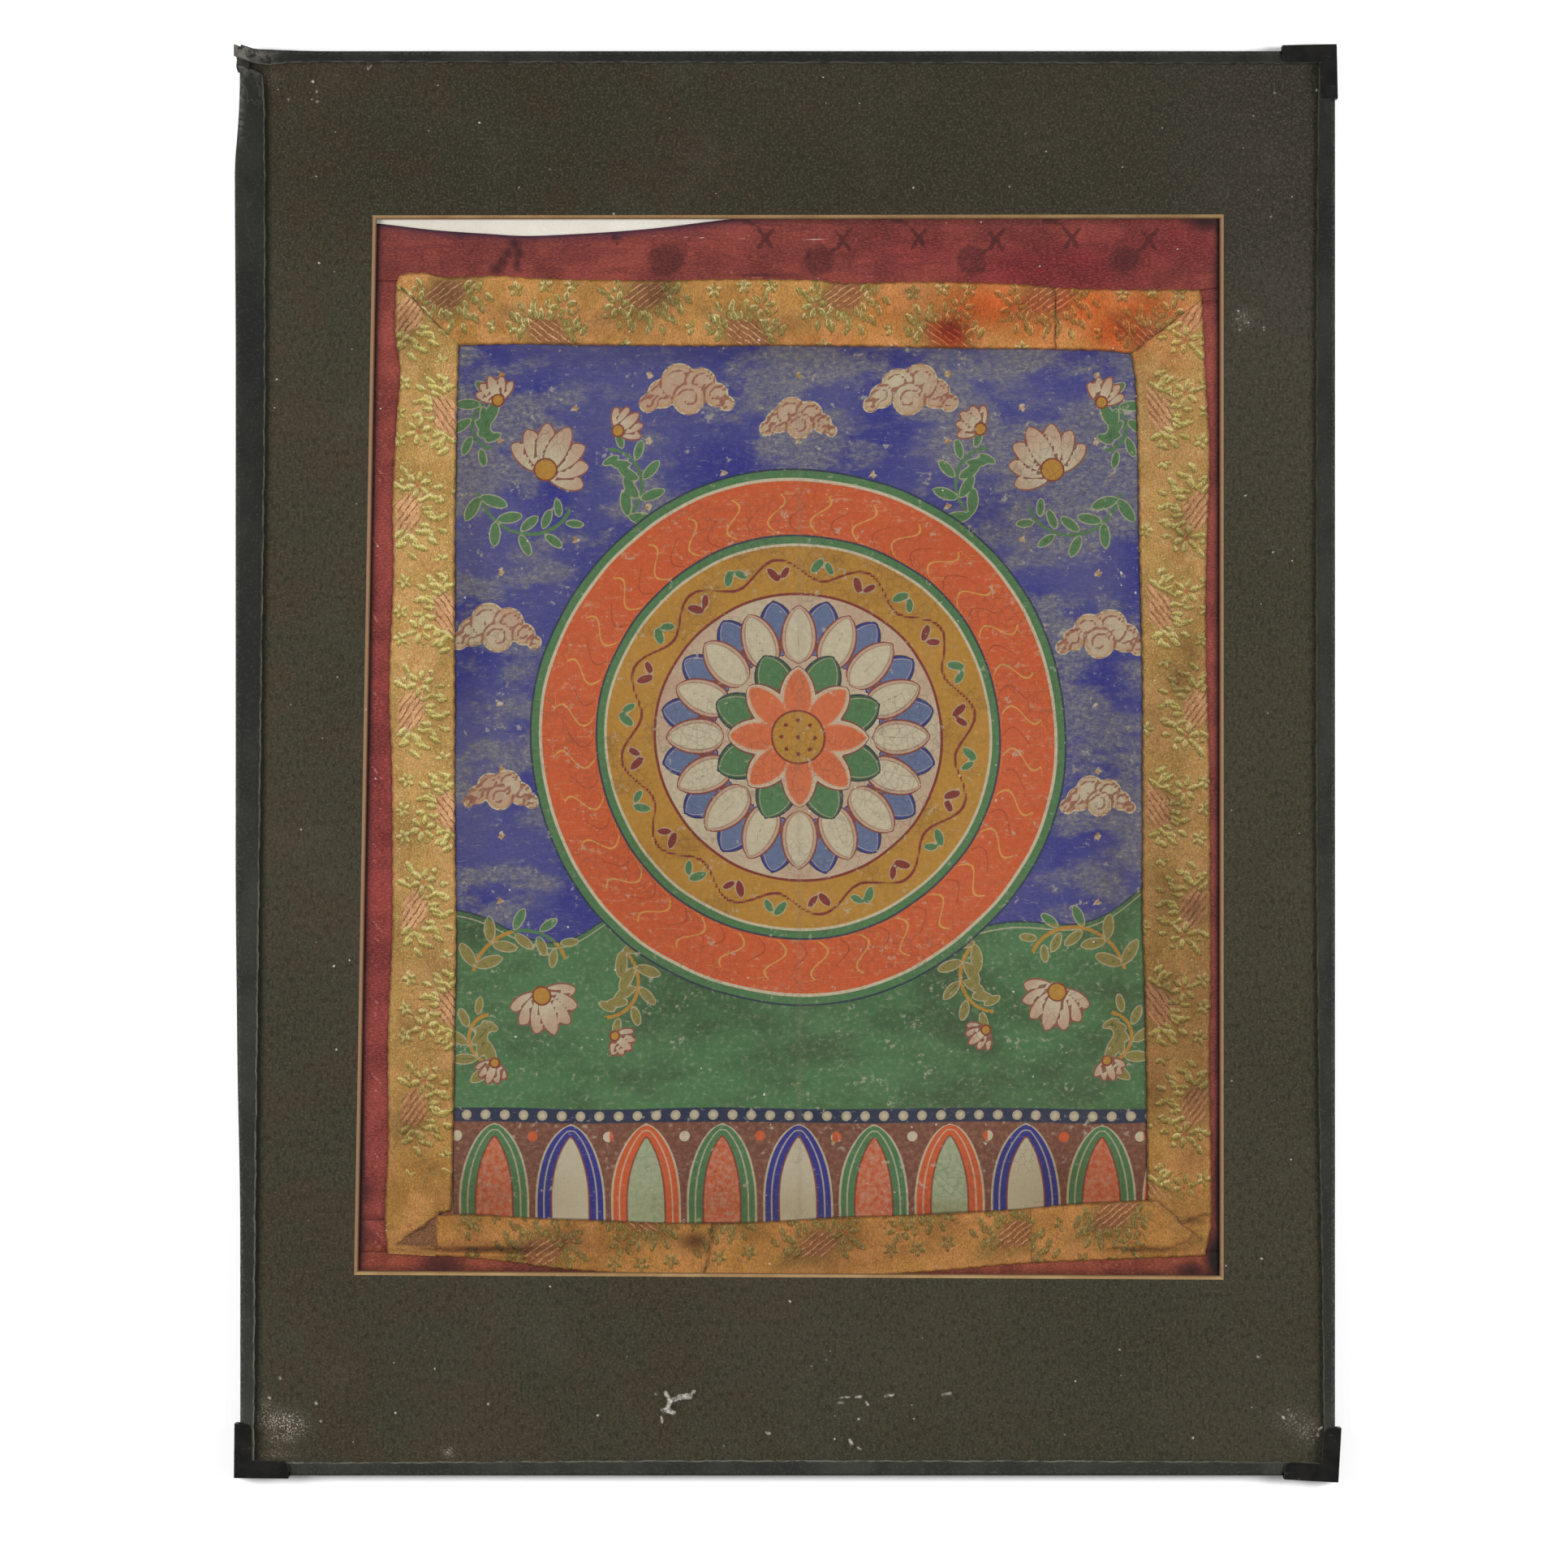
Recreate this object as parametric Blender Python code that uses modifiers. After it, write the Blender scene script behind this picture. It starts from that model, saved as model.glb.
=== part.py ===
"""Thangka painting in its brocade and silk borders, mounted on a board behind a mat and a taped glass pane.

The panel lies on its back: +Z comes out of the picture, +Y is the picture's top, and the origin is under the
panel's middle. Lengths are in metres, and the tables are in millimetres, as their names say.
"""

import math

import bmesh
import bpy
from mathutils import Matrix, Vector

MM = 0.001

# Driving sizes
PANEL_W, PANEL_H = 0.496, 0.646  # glass, mat and backing board
GAP = 0.0003  # between neighbours that touch
BOARD_T = 0.002
CLOTH_T = 0.001
MAT_T = 0.0016
GLASS_T = 0.002
TAPE_T = 0.001
UNDER_MAT = 0.0001  # play of the cloth that runs under the mat
BEVEL_RUN = 0.0018  # the window's bevel, seen from the front

# Heights of the layers' undersides, from the surface that the panel lies on
Z_BOARD = TAPE_T + GAP
Z_CLOTH = Z_BOARD + BOARD_T + GAP
Z_BROCADE = Z_CLOTH + CLOTH_T + GAP
Z_MAT = Z_BROCADE + CLOTH_T + UNDER_MAT + GAP
Z_GLASS = Z_MAT + MAT_T + GAP
Z_FRONT = Z_GLASS + GLASS_T + GAP
Z_CAP_FRONT = Z_FRONT + TAPE_T + GAP

# Corners of the mat's window at its front face, from the top left, clockwise
WINDOW_MM = ((-189.0, 249.6), (198.6, 250.0), (198.6, -235.2), (-197.5, -233.0))

# Borders. Each row is a place along the strip and the edge's place across it, which the other name gives.
BROCADE_TOP_OUTER_X_Y_MM = (
    (-178.3, 218.9),
    (-176.8, 222.6),
    (-167.6, 223.7),
    (-154.0, 221.5),
    (-132.5, 222.3),
    (-112.5, 221.0),
    (-60.0, 220.1),
    (-24.9, 220.8),
    (10.9, 220.4),
    (27.0, 218.9),
    (63.4, 219.5),
    (100.9, 218.6),
    (141.2, 216.1),
    (187.5, 215.8),
    (188.8, 211.5),
)
BROCADE_TOP_INNER_X_Y_MM = (
    (-150.0, 190.6),
    (-124.5, 191.0),
    (-51.9, 190.3),
    (10.9, 190.3),
    (76.7, 189.2),
    (141.2, 188.3),
    (156.5, 186.8),
)
BROCADE_LEFT_OUTER_Y_X_MM = (
    (218.9, -178.3),
    (198.4, -179.0),
    (178.3, -176.6),
    (155.4, -178.3),
    (113.6, -180.1),
    (92.6, -179.6),
    (33.1, -181.6),
    (-7.2, -180.3),
    (-70.0, -180.1),
    (-132.8, -182.3),
    (-169.8, -182.0),
    (-206.7, -183.5),
    (-223.4, -182.3),
)
BROCADE_LEFT_INNER_Y_X_MM = (
    (190.6, -150.0),
    (155.4, -150.9),
    (88.9, -151.7),
    (-22.0, -151.7),
    (-77.4, -151.1),
    (-132.8, -152.0),
    (-203.4, -153.3),
    (-205.2, -159.6),
    (-225.0, -159.9),
)
BROCADE_RIGHT_OUTER_Y_X_MM = (
    (211.5, 188.8),
    (199.7, 189.4),
    (173.8, 190.5),
    (140.6, 192.3),
    (92.6, 190.8),
    (66.7, 190.5),
    (-7.2, 192.3),
    (-95.9, 192.9),
    (-132.8, 192.3),
    (-206.7, 193.2),
    (-224.5, 190.3),
)
BROCADE_RIGHT_INNER_Y_X_MM = (
    (186.8, 156.5),
    (172.9, 158.7),
    (155.4, 159.4),
    (88.9, 160.5),
    (33.4, 161.8),
    (-70.0, 161.7),
    (-114.4, 163.1),
    (-199.0, 164.1),
)
BROCADE_BOTTOM_OUTER_X_Y_MM = (
    (-159.4, -224.6),
    (-136.9, -226.3),
    (-97.7, -231.1),
    (-44.5, -234.1),
    (10.9, -234.8),
    (63.4, -231.9),
    (111.8, -227.8),
    (158.7, -225.9),
    (190.3, -224.5),
)
BROCADE_BOTTOM_INNER_X_Y_MM = (
    (-159.4, -206.0),
    (-153.3, -205.6),
    (-102.9, -207.8),
    (-34.5, -209.7),
    (23.1, -207.1),
    (84.8, -204.5),
    (138.4, -200.5),
    (164.1, -199.0),
)
TOP_SEAM_X_MM = 122.0
BOTTOM_SEAMS_X_MM = (-37.6, 110.8)
SEAM_GAP_MM = 0.3

# The painting's edges lie this far under the brocade, and the silk's inner edges under its outer edge
PAINTING_TUCK_MM = 5.0
SILK_TUCK_MM = 6.0
SILK_UNDER_MAT_MM = 7.0
SILK_TOP_EDGE_X_Y_MM = (
    (-196.5, 247.0),
    (-187.3, 246.1),
    (-159.4, 242.9),
    (-139.3, 241.5),
    (-119.2, 240.4),
    (-92.2, 241.5),
    (-65.4, 243.4),
    (-29.0, 247.7),
    (-3.9, 250.3),
    (47.9, 252.6),
    (205.6, 253.5),
)
SILK_INNER_X_MM = (-172.0, 183.0)  # where the side lengths end under the brocade
SILK_SEAMS_LEFT_Y_MM = (219.9, -208.0, -222.6)  # top to left length, to short length, to bottom
SILK_SEAMS_RIGHT_Y_MM = (215.2, 218.0, 209.8)  # top to short length, inside and outside; to right length

# Folds that stand up from the cloth: the line that each runs along, its height and half its width
BROCADE_FOLDS_MM = (  # x0, y0, x1, y1, height, half width
    (-181.0, -219.5, -158.0, -221.5, 0.9, 2.2),
    (-158.0, -221.5, -128.0, -225.0, 0.8, 2.4),
    (142.4, -219.8, 170.9, -221.9, 0.8, 2.0),
    (170.9, -221.9, 191.5, -207.5, 0.9, 2.0),
    (53.8, -209.4, 84.8, -207.4, 0.5, 2.0),
    (-172.0, -207.0, -162.0, -216.0, 0.6, 2.6),
    (160.0, 207.5, 184.0, 212.0, 0.4, 2.5),
)
PAINTING_FOLDS_MM = (
    (5.4, 200.0, 5.4, -215.0, 0.5, 3.0),
    (143.2, 196.0, 143.2, 172.0, 0.4, 2.0),
    (-120.0, 150.0, -20.0, 158.0, 0.25, 5.0),
    (40.0, -60.0, 150.0, -48.0, 0.3, 6.0),
    (-140.0, -118.0, -30.0, -126.0, 0.3, 6.0),
    (60.0, 96.0, 66.0, 20.0, 0.25, 4.0),
)
SILK_FOLDS_MM = (
    (-125.0, 236.5, -40.0, 236.0, 0.3, 1.6),
    (20.0, 238.5, 130.0, 238.0, 0.3, 1.6),
    (-20.0, 230.0, 30.0, 232.5, 0.3, 2.5),
    (-190.0, 150.0, -180.0, 142.0, 0.3, 2.5),
    (-192.0, 30.0, -182.0, 20.0, 0.3, 2.5),
    (-193.0, -60.0, -184.0, -72.0, 0.3, 2.5),
    (192.0, 120.0, 197.0, 108.0, 0.3, 2.5),
)

# Edge tape. Each row: place along the edge, the side's play off the panel, and the front flange's width.
TAPE_BACK_W_MM = 9.0
TAPE_CHAMFER_MM = 0.4
TAPE_LEFT_MM = (  # y, play, front width
    (317.4, 1.6, 0.8),
    (316.0, 1.1, 3.2),
    (314.8, 0.5, 8.6),
    (305.0, 0.6, 9.6),
    (293.6, 1.1, 9.9),
    (268.4, 2.8, 10.1),
    (181.2, 2.4, 10.2),
    (60.0, 2.4, 8.8),
    (-40.5, 2.4, 7.6),
    (-129.1, 1.7, 6.6),
    (-217.8, 0.3, 5.7),
    (-265.9, 0.3, 5.4),
    (-323.0, 0.3, 5.1),
)
TAPE_RIGHT_MM = (
    (323.0, 0.3, 6.2),
    (302.0, 0.3, 6.6),
    (199.7, 0.3, 7.3),
    (15.0, 0.3, 7.5),
    (-132.8, 0.3, 6.5),
    (-250.0, 0.3, 4.6),
    (-323.0, 0.3, 3.9),
)
TAPE_TOP_MM = (  # x, play, front width
    (-248.0, 0.9, 4.4),
    (-239.0, 1.1, 5.6),
    (-228.0, 0.7, 4.3),
    (-210.8, 0.3, 4.0),
    (-26.0, 0.3, 4.3),
    (150.0, 0.3, 4.5),
    (248.0, 0.3, 4.6),
)
TAPE_BOTTOM_MM = (
    (-248.0, 0.3, 4.8),
    (-150.0, 0.3, 5.2),
    (-26.0, 0.3, 5.8),
    (120.0, 0.3, 5.7),
    (195.7, 0.3, 5.4),
    (248.0, 0.3, 5.0),
)
TORN_ENDS = {"edge_tape_left": True, "edge_tape_top": False}  # True: the end at the higher coordinate
# The top tape's torn end lifts off the corner: over this length it rises and swings outwards
FLAP_LENGTH_MM = 14.0
FLAP_TIP_X_MM = -252.0
FLAP_RISE_MM = 2.6
FLAP_SWING_MM = 3.4

# Corner caps: arms of one length, slipped off the panel's corner by different amounts
CAP_ARM = 0.0248
CAP_W = 0.0081
CAP_WALL = 0.0015
CAP_SHEET = 0.001
CAP_END_R = 0.0034
CAP_MM = (  # name, x side, y side, outer corner's x and y beyond the panel, turn in degrees
    ("corner_cap_top_right", 1, 1, 1.9, 4.35, 1.2),
    ("corner_cap_bottom_left", -1, -1, 4.05, 2.3, -0.6),
    ("corner_cap_bottom_right", 1, -1, 2.65, 4.35, -3.3),
)
CAP_CLEAR_MM = 0.9  # the tape's side and back stop this far from a cap

COLOURS = {  # base colour, roughness
    "backing_white": ((0.72, 0.68, 0.62), 0.8),
    "silk_maroon": ((0.22, 0.05, 0.045), 0.6),
    "brocade_gold": ((0.45, 0.28, 0.11), 0.5),
    "painted_cotton": ((0.20, 0.17, 0.20), 0.85),
    "mat_olive": ((0.06, 0.054, 0.04), 0.9),
    "glass_clear": ((0.9, 0.92, 0.9), 0.05),
    "tape_grey": ((0.04, 0.042, 0.038), 0.6),
    "cap_black": ((0.012, 0.012, 0.011), 0.4),
}


def start_scene():
    """Removes the scene's objects and makes the part's and the cutters' collections."""
    for old in list(bpy.data.objects):
        bpy.data.objects.remove(old, do_unlink=True)
    made = []
    for name in ("thangka_panel", "cutters"):
        collection = bpy.data.collections.new(name)
        bpy.context.scene.collection.children.link(collection)
        made.append(collection)
    return made


PART, CUTTERS = start_scene()


def material(name):
    """The named material, made once."""
    found = bpy.data.materials.get(name)
    if found:
        return found
    colour, roughness = COLOURS[name]
    made = bpy.data.materials.new(name)
    made.use_nodes = True
    shader = made.node_tree.nodes["Principled BSDF"]
    shader.inputs["Base Color"].default_value = (*colour, 1.0)
    shader.inputs["Roughness"].default_value = roughness
    shader.inputs["Metallic"].default_value = 0.0
    return made


def add_object(name, mesh, material_name, collection=PART):
    """Links a mesh as an object with its material."""
    mesh.materials.clear()
    mesh.materials.append(material(material_name))
    thing = bpy.data.objects.new(name, mesh)
    collection.objects.link(thing)
    return thing


def smooth_table(table, at):
    """The table's second column at a place in its first, on a smooth curve that never overshoots a row."""
    rows = sorted(table)
    at = min(max(at, rows[0][0]), rows[-1][0])
    steps = [(b[1] - a[1]) / (b[0] - a[0]) for a, b in zip(rows, rows[1:])]

    def slope(i):
        if i in (0, len(steps)):
            return steps[min(i, len(steps) - 1)]
        before, after = steps[i - 1], steps[i]
        return 2 * before * after / (before + after) if before * after > 0 else 0.0

    i = next(k for k in range(len(steps)) if at <= rows[k + 1][0])
    (a, va), (b, vb) = rows[i], rows[i + 1]
    t, span = (at - a) / (b - a), b - a
    return (
        (1 + 2 * t) * (1 - t) ** 2 * va
        + t * (1 - t) ** 2 * span * slope(i)
        + t * t * (3 - 2 * t) * vb
        + t * t * (t - 1) * span * slope(i + 1)
    )


def stations(count, details=()):
    """Places from 0 to 1, evenly spaced but for the details, which each take the place of a close one."""
    inside = [place for place in details if 0.0 < place < 1.0]
    even = [i / count for i in range(1, count) if all(abs(i / count - d) > 0.4 / count for d in inside)]
    return [0.0, *sorted(even + inside), 1.0]


def shaped_grid(name, columns, rows, place, material_name, thickness, even=True):
    """A grid with its points at place(u, v), thickened along its normals. Columns and rows are stations."""
    mesh = bpy.data.meshes.new(name)
    grid = bmesh.new()
    across, along = len(columns) - 1, len(rows) - 1
    bmesh.ops.create_grid(grid, x_segments=across, y_segments=along, size=0.5)
    for vert in grid.verts:
        u = columns[round((vert.co.x + 0.5) * across)]
        v = rows[round((vert.co.y + 0.5) * along)]
        vert.co = place(u, v)
    grid.normal_update()
    grid.to_mesh(mesh)
    grid.free()
    mesh.shade_smooth()
    mesh.set_sharp_from_angle(angle=math.radians(40))
    sheet = add_object(name, mesh, material_name)
    solidify = sheet.modifiers.new("thickness", "SOLIDIFY")
    solidify.thickness = thickness
    solidify.offset = 1.0
    solidify.use_even_offset = even
    return sheet


def fold_height_mm(x, y, folds):
    """How far the named folds lift the cloth at a place, in millimetres."""
    lift = 0.0
    for x0, y0, x1, y1, height, half_width in folds:
        length2 = (x1 - x0) ** 2 + (y1 - y0) ** 2
        t = min(max(((x - x0) * (x1 - x0) + (y - y0) * (y1 - y0)) / length2, 0.0), 1.0)
        away = math.hypot(x - x0 - t * (x1 - x0), y - y0 - t * (y1 - y0))
        lift = max(lift, height * math.exp(-((away / half_width) ** 2)))
    return lift


def uneven(s, phase):
    """A slow uneven wave between 0 and 1 along a strip, in millimetres."""
    wave = math.sin(s / 5.3 + phase) + 0.7 * math.sin(s / 8.9 + 2.1 * phase)
    wave += 0.5 * math.sin(s / 3.1 + phase * phase)
    return min(max(0.5 + wave / 4.4, 0.0), 1.0)


def inside_window(x, y, margin_mm):
    """1 where a place is the margin or more inside the mat's lower edge, falling to 0 at that edge."""
    nearest = min(
        ((x - ax) * (by - ay) - (y - ay) * (bx - ax)) / math.hypot(bx - ax, by - ay)
        for (ax, ay), (bx, by) in zip(WINDOW_MM, WINDOW_MM[1:] + WINDOW_MM[:1])
    )
    return min(max((nearest - BEVEL_RUN / MM - SEAM_GAP_MM) / margin_mm, 0.0), 1.0)


def brocade_lift_mm(x, y, along, across, phase):
    """Puckers at the strip's two sewn edges and the tucks, flat where the strip runs under the mat."""
    edge = math.exp(-((across / 0.22) ** 2)) + math.exp(-(((1 - across) / 0.22) ** 2))
    lift = 0.35 * edge * uneven(along, phase) + fold_height_mm(x, y, BROCADE_FOLDS_MM)
    return lift * inside_window(x, y, 7.0)


def brocade_strip(name, outer, inner, outer_ends, inner_ends, upright, cells, phase):
    """One brocade length between two edge tables, which give x for each y where it is upright."""
    details = [(at - inner_ends[0]) / (inner_ends[1] - inner_ends[0]) for at, _ in inner]
    details += [(at - outer_ends[0]) / (outer_ends[1] - outer_ends[0]) for at, _ in outer[:2]]

    def place(u, v):
        along_out = outer_ends[0] + (outer_ends[1] - outer_ends[0]) * u
        along_in = inner_ends[0] + (inner_ends[1] - inner_ends[0]) * u
        out, inn = smooth_table(outer, along_out), smooth_table(inner, along_in)
        along = along_in + (along_out - along_in) * v
        away = inn + (out - inn) * v
        x, y = (away, along) if upright else (along, away)
        lift = brocade_lift_mm(x, y, along, v, phase)
        return Vector((x * MM, y * MM, Z_BROCADE + lift * MM))

    columns, rows = stations(cells[0], details), stations(cells[1])
    shaped_grid(name, columns, rows, place, "brocade_gold", CLOTH_T)


def build_brocade():
    """The seven brocade lengths, a seam gap apart. Each runs so that its grid faces up."""
    half = SEAM_GAP_MM / 2
    top = (BROCADE_TOP_OUTER_X_Y_MM, BROCADE_TOP_INNER_X_Y_MM)
    bottom = (BROCADE_BOTTOM_OUTER_X_Y_MM, BROCADE_BOTTOM_INNER_X_Y_MM)
    left = (BROCADE_LEFT_OUTER_Y_X_MM, BROCADE_LEFT_INNER_Y_X_MM)
    right = (BROCADE_RIGHT_OUTER_Y_X_MM, BROCADE_RIGHT_INNER_Y_X_MM)
    seam = TOP_SEAM_X_MM
    brocade_strip(
        "brocade_top_long", *top, (-178.1, seam - half), (-149.8, seam - half), False, (36, 4), 0.4
    )
    brocade_strip(
        "brocade_top_short", *top, (seam + half, 188.6), (seam + half, 156.3), False, (9, 4), 1.3
    )
    brocade_strip("brocade_left", *left, (-223.4, 218.4), (-225.0, 190.2), True, (46, 4), 2.2)
    brocade_strip("brocade_right", *right, (211.0, -224.2), (186.4, -198.7), True, (44, 4), 3.1)
    first, second = BOTTOM_SEAMS_X_MM
    brocade_strip(
        "brocade_bottom_left", *bottom, (first - half, -159.2), (first - half, -159.2), False, (16, 5), 4.0
    )
    brocade_strip(
        "brocade_bottom_middle", *bottom, (second - half, first + half), (second - half, first + half),
        False, (18, 5), 4.9
    )
    brocade_strip(
        "brocade_bottom_right", *bottom, (190.0, second + half), (163.8, second + half), False, (10, 5), 5.8
    )


def build_painting():
    """The painted cotton, whose edges are tucked under the brocade."""
    tuck = PAINTING_TUCK_MM
    head_y, foot_y, fade_mm = 190.0, -200.0, 9.0

    def place(u, v):
        level = foot_y + (head_y - foot_y) * v
        left = smooth_table(BROCADE_LEFT_INNER_Y_X_MM, level) - tuck
        right = smooth_table(BROCADE_RIGHT_INNER_Y_X_MM, level) + tuck
        x = left + (right - left) * u
        top = smooth_table(BROCADE_TOP_INNER_X_Y_MM, x) + tuck
        bottom = smooth_table(BROCADE_BOTTOM_INNER_X_Y_MM, x) - tuck
        y = bottom + (top - bottom) * v
        rim = min(x - left, right - x, y - bottom, top - y) - tuck
        settle = min(max(rim / fade_mm, 0.0), 1.0)
        wave = 0.2 * uneven(0.35 * x + 0.2 * y, 0.7) + 0.15 * uneven(0.3 * y - 0.1 * x, 2.9)
        pucker = 0.35 * math.exp(-(((rim - 6.0) / 6.0) ** 2)) * uneven(x + 1.3 * y, 1.9)
        lift = settle * (wave + pucker + fold_height_mm(x, y, PAINTING_FOLDS_MM))
        return Vector((x * MM, y * MM, Z_CLOTH + lift * MM))

    shaped_grid("painted_cotton", stations(20), stations(24), place, "painted_cotton", CLOTH_T)


def silk_strip(name, low, high, cells):
    """One silk length between a low and a high edge, each a table of x and y from left to right."""

    def edge_point(table, u):
        x = table[0][0] + (table[-1][0] - table[0][0]) * u
        return Vector((x, smooth_table(table, x)))

    def place(u, v):
        x, y = edge_point(low, u).lerp(edge_point(high, u), v)
        lift = 0.2 * uneven(x + y, 1.1) + fold_height_mm(x, y, SILK_FOLDS_MM)
        return Vector((x * MM, y * MM, Z_CLOTH + lift * inside_window(x, y, 2.0) * MM))

    shaped_grid(name, stations(cells[0]), stations(cells[1]), place, "silk_maroon", CLOTH_T)


def build_silk():
    """The six silk lengths round the brocade, running under the mat outside and under the brocade inside."""
    gap, half = SEAM_GAP_MM, SEAM_GAP_MM / 2
    inner_left, inner_right = SILK_INNER_X_MM
    outer_right = WINDOW_MM[1][0] + SILK_UNDER_MAT_MM
    head_x = SILK_TOP_EDGE_X_Y_MM[0][0]
    foot_x = WINDOW_MM[3][0] - SILK_UNDER_MAT_MM
    foot_y = WINDOW_MM[3][1] - SILK_UNDER_MAT_MM
    top_y, low_y, last_y = SILK_SEAMS_LEFT_Y_MM
    right_inner_y, right_outer_y, right_low_y = SILK_SEAMS_RIGHT_Y_MM
    drop = SILK_TUCK_MM

    top_foot = (
        (head_x, top_y),
        (inner_left + 8.0, top_y),
        (inner_left + 16.0, top_y - drop),
        (inner_right - 13.0, right_inner_y - drop),
        (inner_right - 5.0, right_inner_y - 0.5),
        (outer_right, right_outer_y),
    )
    bottom_head = (
        (foot_x, last_y - gap),
        (inner_left + 8.0, last_y - gap),
        (inner_left + 22.0, last_y + drop / 2),
        (inner_right - 22.0, last_y + drop / 2),
        (inner_right - 6.0, last_y - gap),
        (outer_right, last_y - gap),
    )
    inner_foot = inner_left - 4.0
    silk_strip("silk_top", top_foot, SILK_TOP_EDGE_X_Y_MM, (30, 3))
    silk_strip("silk_bottom", ((foot_x, foot_y), (outer_right, foot_y)), bottom_head, (30, 2))
    silk_strip(
        "silk_left",
        ((foot_x + 0.4, low_y + half), (inner_foot, low_y + half)),
        ((head_x, top_y - gap), (inner_left, top_y - gap)),
        (2, 30),
    )
    silk_strip(
        "silk_patch_left",
        ((foot_x, last_y), (inner_foot, last_y)),
        ((foot_x + 0.4, low_y - half), (inner_foot, low_y - half)),
        (2, 2),
    )
    silk_strip(
        "silk_patch_right",
        ((inner_right, right_low_y), (outer_right, right_low_y + 1.0)),
        ((inner_right, right_inner_y - gap), (outer_right, right_outer_y - gap)),
        (2, 2),
    )
    silk_strip(
        "silk_right",
        ((inner_right + 1.0, last_y), (outer_right, last_y)),
        ((inner_right, right_low_y - gap), (outer_right, right_low_y + 1.0 - gap)),
        (2, 30),
    )


def add_box(name, size, centre, material_name, collection=PART):
    """A box from the cube primitive, with its size in its mesh."""
    box = bmesh.new()
    bmesh.ops.create_cube(box, size=1.0)
    bmesh.ops.scale(box, vec=Vector(size), verts=box.verts)
    mesh = bpy.data.meshes.new(name)
    box.to_mesh(mesh)
    box.free()
    thing = add_object(name, mesh, material_name, collection)
    thing.location = centre
    return thing


def cut(target, cutter):
    """Takes the cutter out of the target, and keeps the cutter as a hidden guide."""
    boolean = target.modifiers.new("cut", "BOOLEAN")
    boolean.operation = "DIFFERENCE"
    boolean.object = cutter
    cutter.hide_render = True
    cutter.display_type = "WIRE"


def window_cutter():
    """A tapered block through the mat: wide at the front face and narrower behind, by the bevel."""
    block = bmesh.new()
    bmesh.ops.create_cube(block, size=1.0)
    middle = Vector((sum(x for x, _ in WINDOW_MM) / 4, sum(y for _, y in WINDOW_MM) / 4)) * MM
    over = MAT_T / 2
    for vert in block.verts:
        corner = next(
            Vector(c) * MM
            for c in WINDOW_MM
            if (c[0] * MM > middle.x) == (vert.co.x > 0) and (c[1] * MM > middle.y) == (vert.co.y > 0)
        )
        front = vert.co.z > 0
        shift = BEVEL_RUN * over / MAT_T if front else -BEVEL_RUN * (1 + over / MAT_T)
        side = Vector((1.0 if vert.co.x > 0 else -1.0, 1.0 if vert.co.y > 0 else -1.0))
        flat = corner + side * shift
        height = Z_MAT + MAT_T + over if front else Z_MAT - over
        vert.co = (flat.x, flat.y, height)
    mesh = bpy.data.meshes.new("window_cutter")
    block.to_mesh(mesh)
    block.free()
    return add_object("window_cutter", mesh, "mat_olive", CUTTERS)


def build_boards():
    """Backing board, mat with its window, and glass."""
    size = (PANEL_W, PANEL_H)
    add_box("backing_board", (*size, BOARD_T), (0, 0, Z_BOARD + BOARD_T / 2), "backing_white")
    mat = add_box("mat_board", (*size, MAT_T), (0, 0, Z_MAT + MAT_T / 2), "mat_olive")
    cut(mat, window_cutter())
    add_box("glass_pane", (*size, GLASS_T), (0, 0, Z_GLASS + GLASS_T / 2), "glass_clear")


def tape_section_mm(play, front_w, back_w):
    """The tape's inner face from the back flange round the panel's edge to the front flange: out, up."""
    low, high, bend = TAPE_T / MM, Z_FRONT / MM, TAPE_CHAMFER_MM
    return (
        (-back_w, low),
        (play - bend, low),
        (play, low + bend),
        (play, high - bend),
        (play - bend, high),
        (-front_w * 0.5, high),
        (-front_w, high),
    )


def tape_strip(name, rows, side, cells):
    """A tape folded round one panel edge. side names the direction out of the panel."""
    outwards, edge_mm, reach_mm = {
        "left": (Vector((-1, 0)), PANEL_W / 2 / MM, PANEL_H / 2 / MM),
        "right": (Vector((1, 0)), PANEL_W / 2 / MM, PANEL_H / 2 / MM),
        "top": (Vector((0, 1)), PANEL_H / 2 / MM, PANEL_W / 2 / MM),
        "bottom": (Vector((0, -1)), PANEL_H / 2 / MM, PANEL_W / 2 / MM),
    }[side]
    along = Vector((abs(outwards.y), abs(outwards.x)))
    low_end, high_end = sorted((rows[0][0], rows[-1][0]))
    forwards = side in ("right", "bottom")
    plays, widths = [(r[0], r[1]) for r in rows], [(r[0], r[2]) for r in rows]

    def station(s):
        share = (s - low_end) / (high_end - low_end)
        return share if forwards else 1 - share

    def place(u, v):
        s = low_end + (high_end - low_end) * (u if forwards else 1 - u)
        play, width = smooth_table(plays, s), smooth_table(widths, s)
        section = tape_section_mm(play, width, TAPE_BACK_W_MM)
        out, up = section[round(v * (len(section) - 1))]
        torn = TORN_ENDS.get(name) == (s > 0) and up > Z_CLOTH / MM
        if not torn:
            s *= 1 - (max(-out, 0.0) + SEAM_GAP_MM) / reach_mm
        elif side == "top":
            s, out, up = lifted_flap(s, out, up)
        flat = outwards * (edge_mm + out) + along * s
        return Vector((flat.x * MM, flat.y * MM, up * MM))

    columns = stations(cells, [station(row[0]) for row in rows])
    return shaped_grid(name, columns, stations(6), place, "tape_grey", TAPE_T, even=False)


def lifted_flap(s, out, up):
    """Lifts and swings the torn end of the top tape's front flange, which overhangs the panel's corner."""
    if up < Z_FRONT / MM - TAPE_CHAMFER_MM / 2:
        return s, out, up
    corner = -PANEL_W / 2 / MM
    share = min(max((corner + FLAP_LENGTH_MM - s) / FLAP_LENGTH_MM, 0.0), 1.0) ** 2
    return s + (FLAP_TIP_X_MM - corner) * share, out + FLAP_SWING_MM * share, up + FLAP_RISE_MM * share


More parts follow.
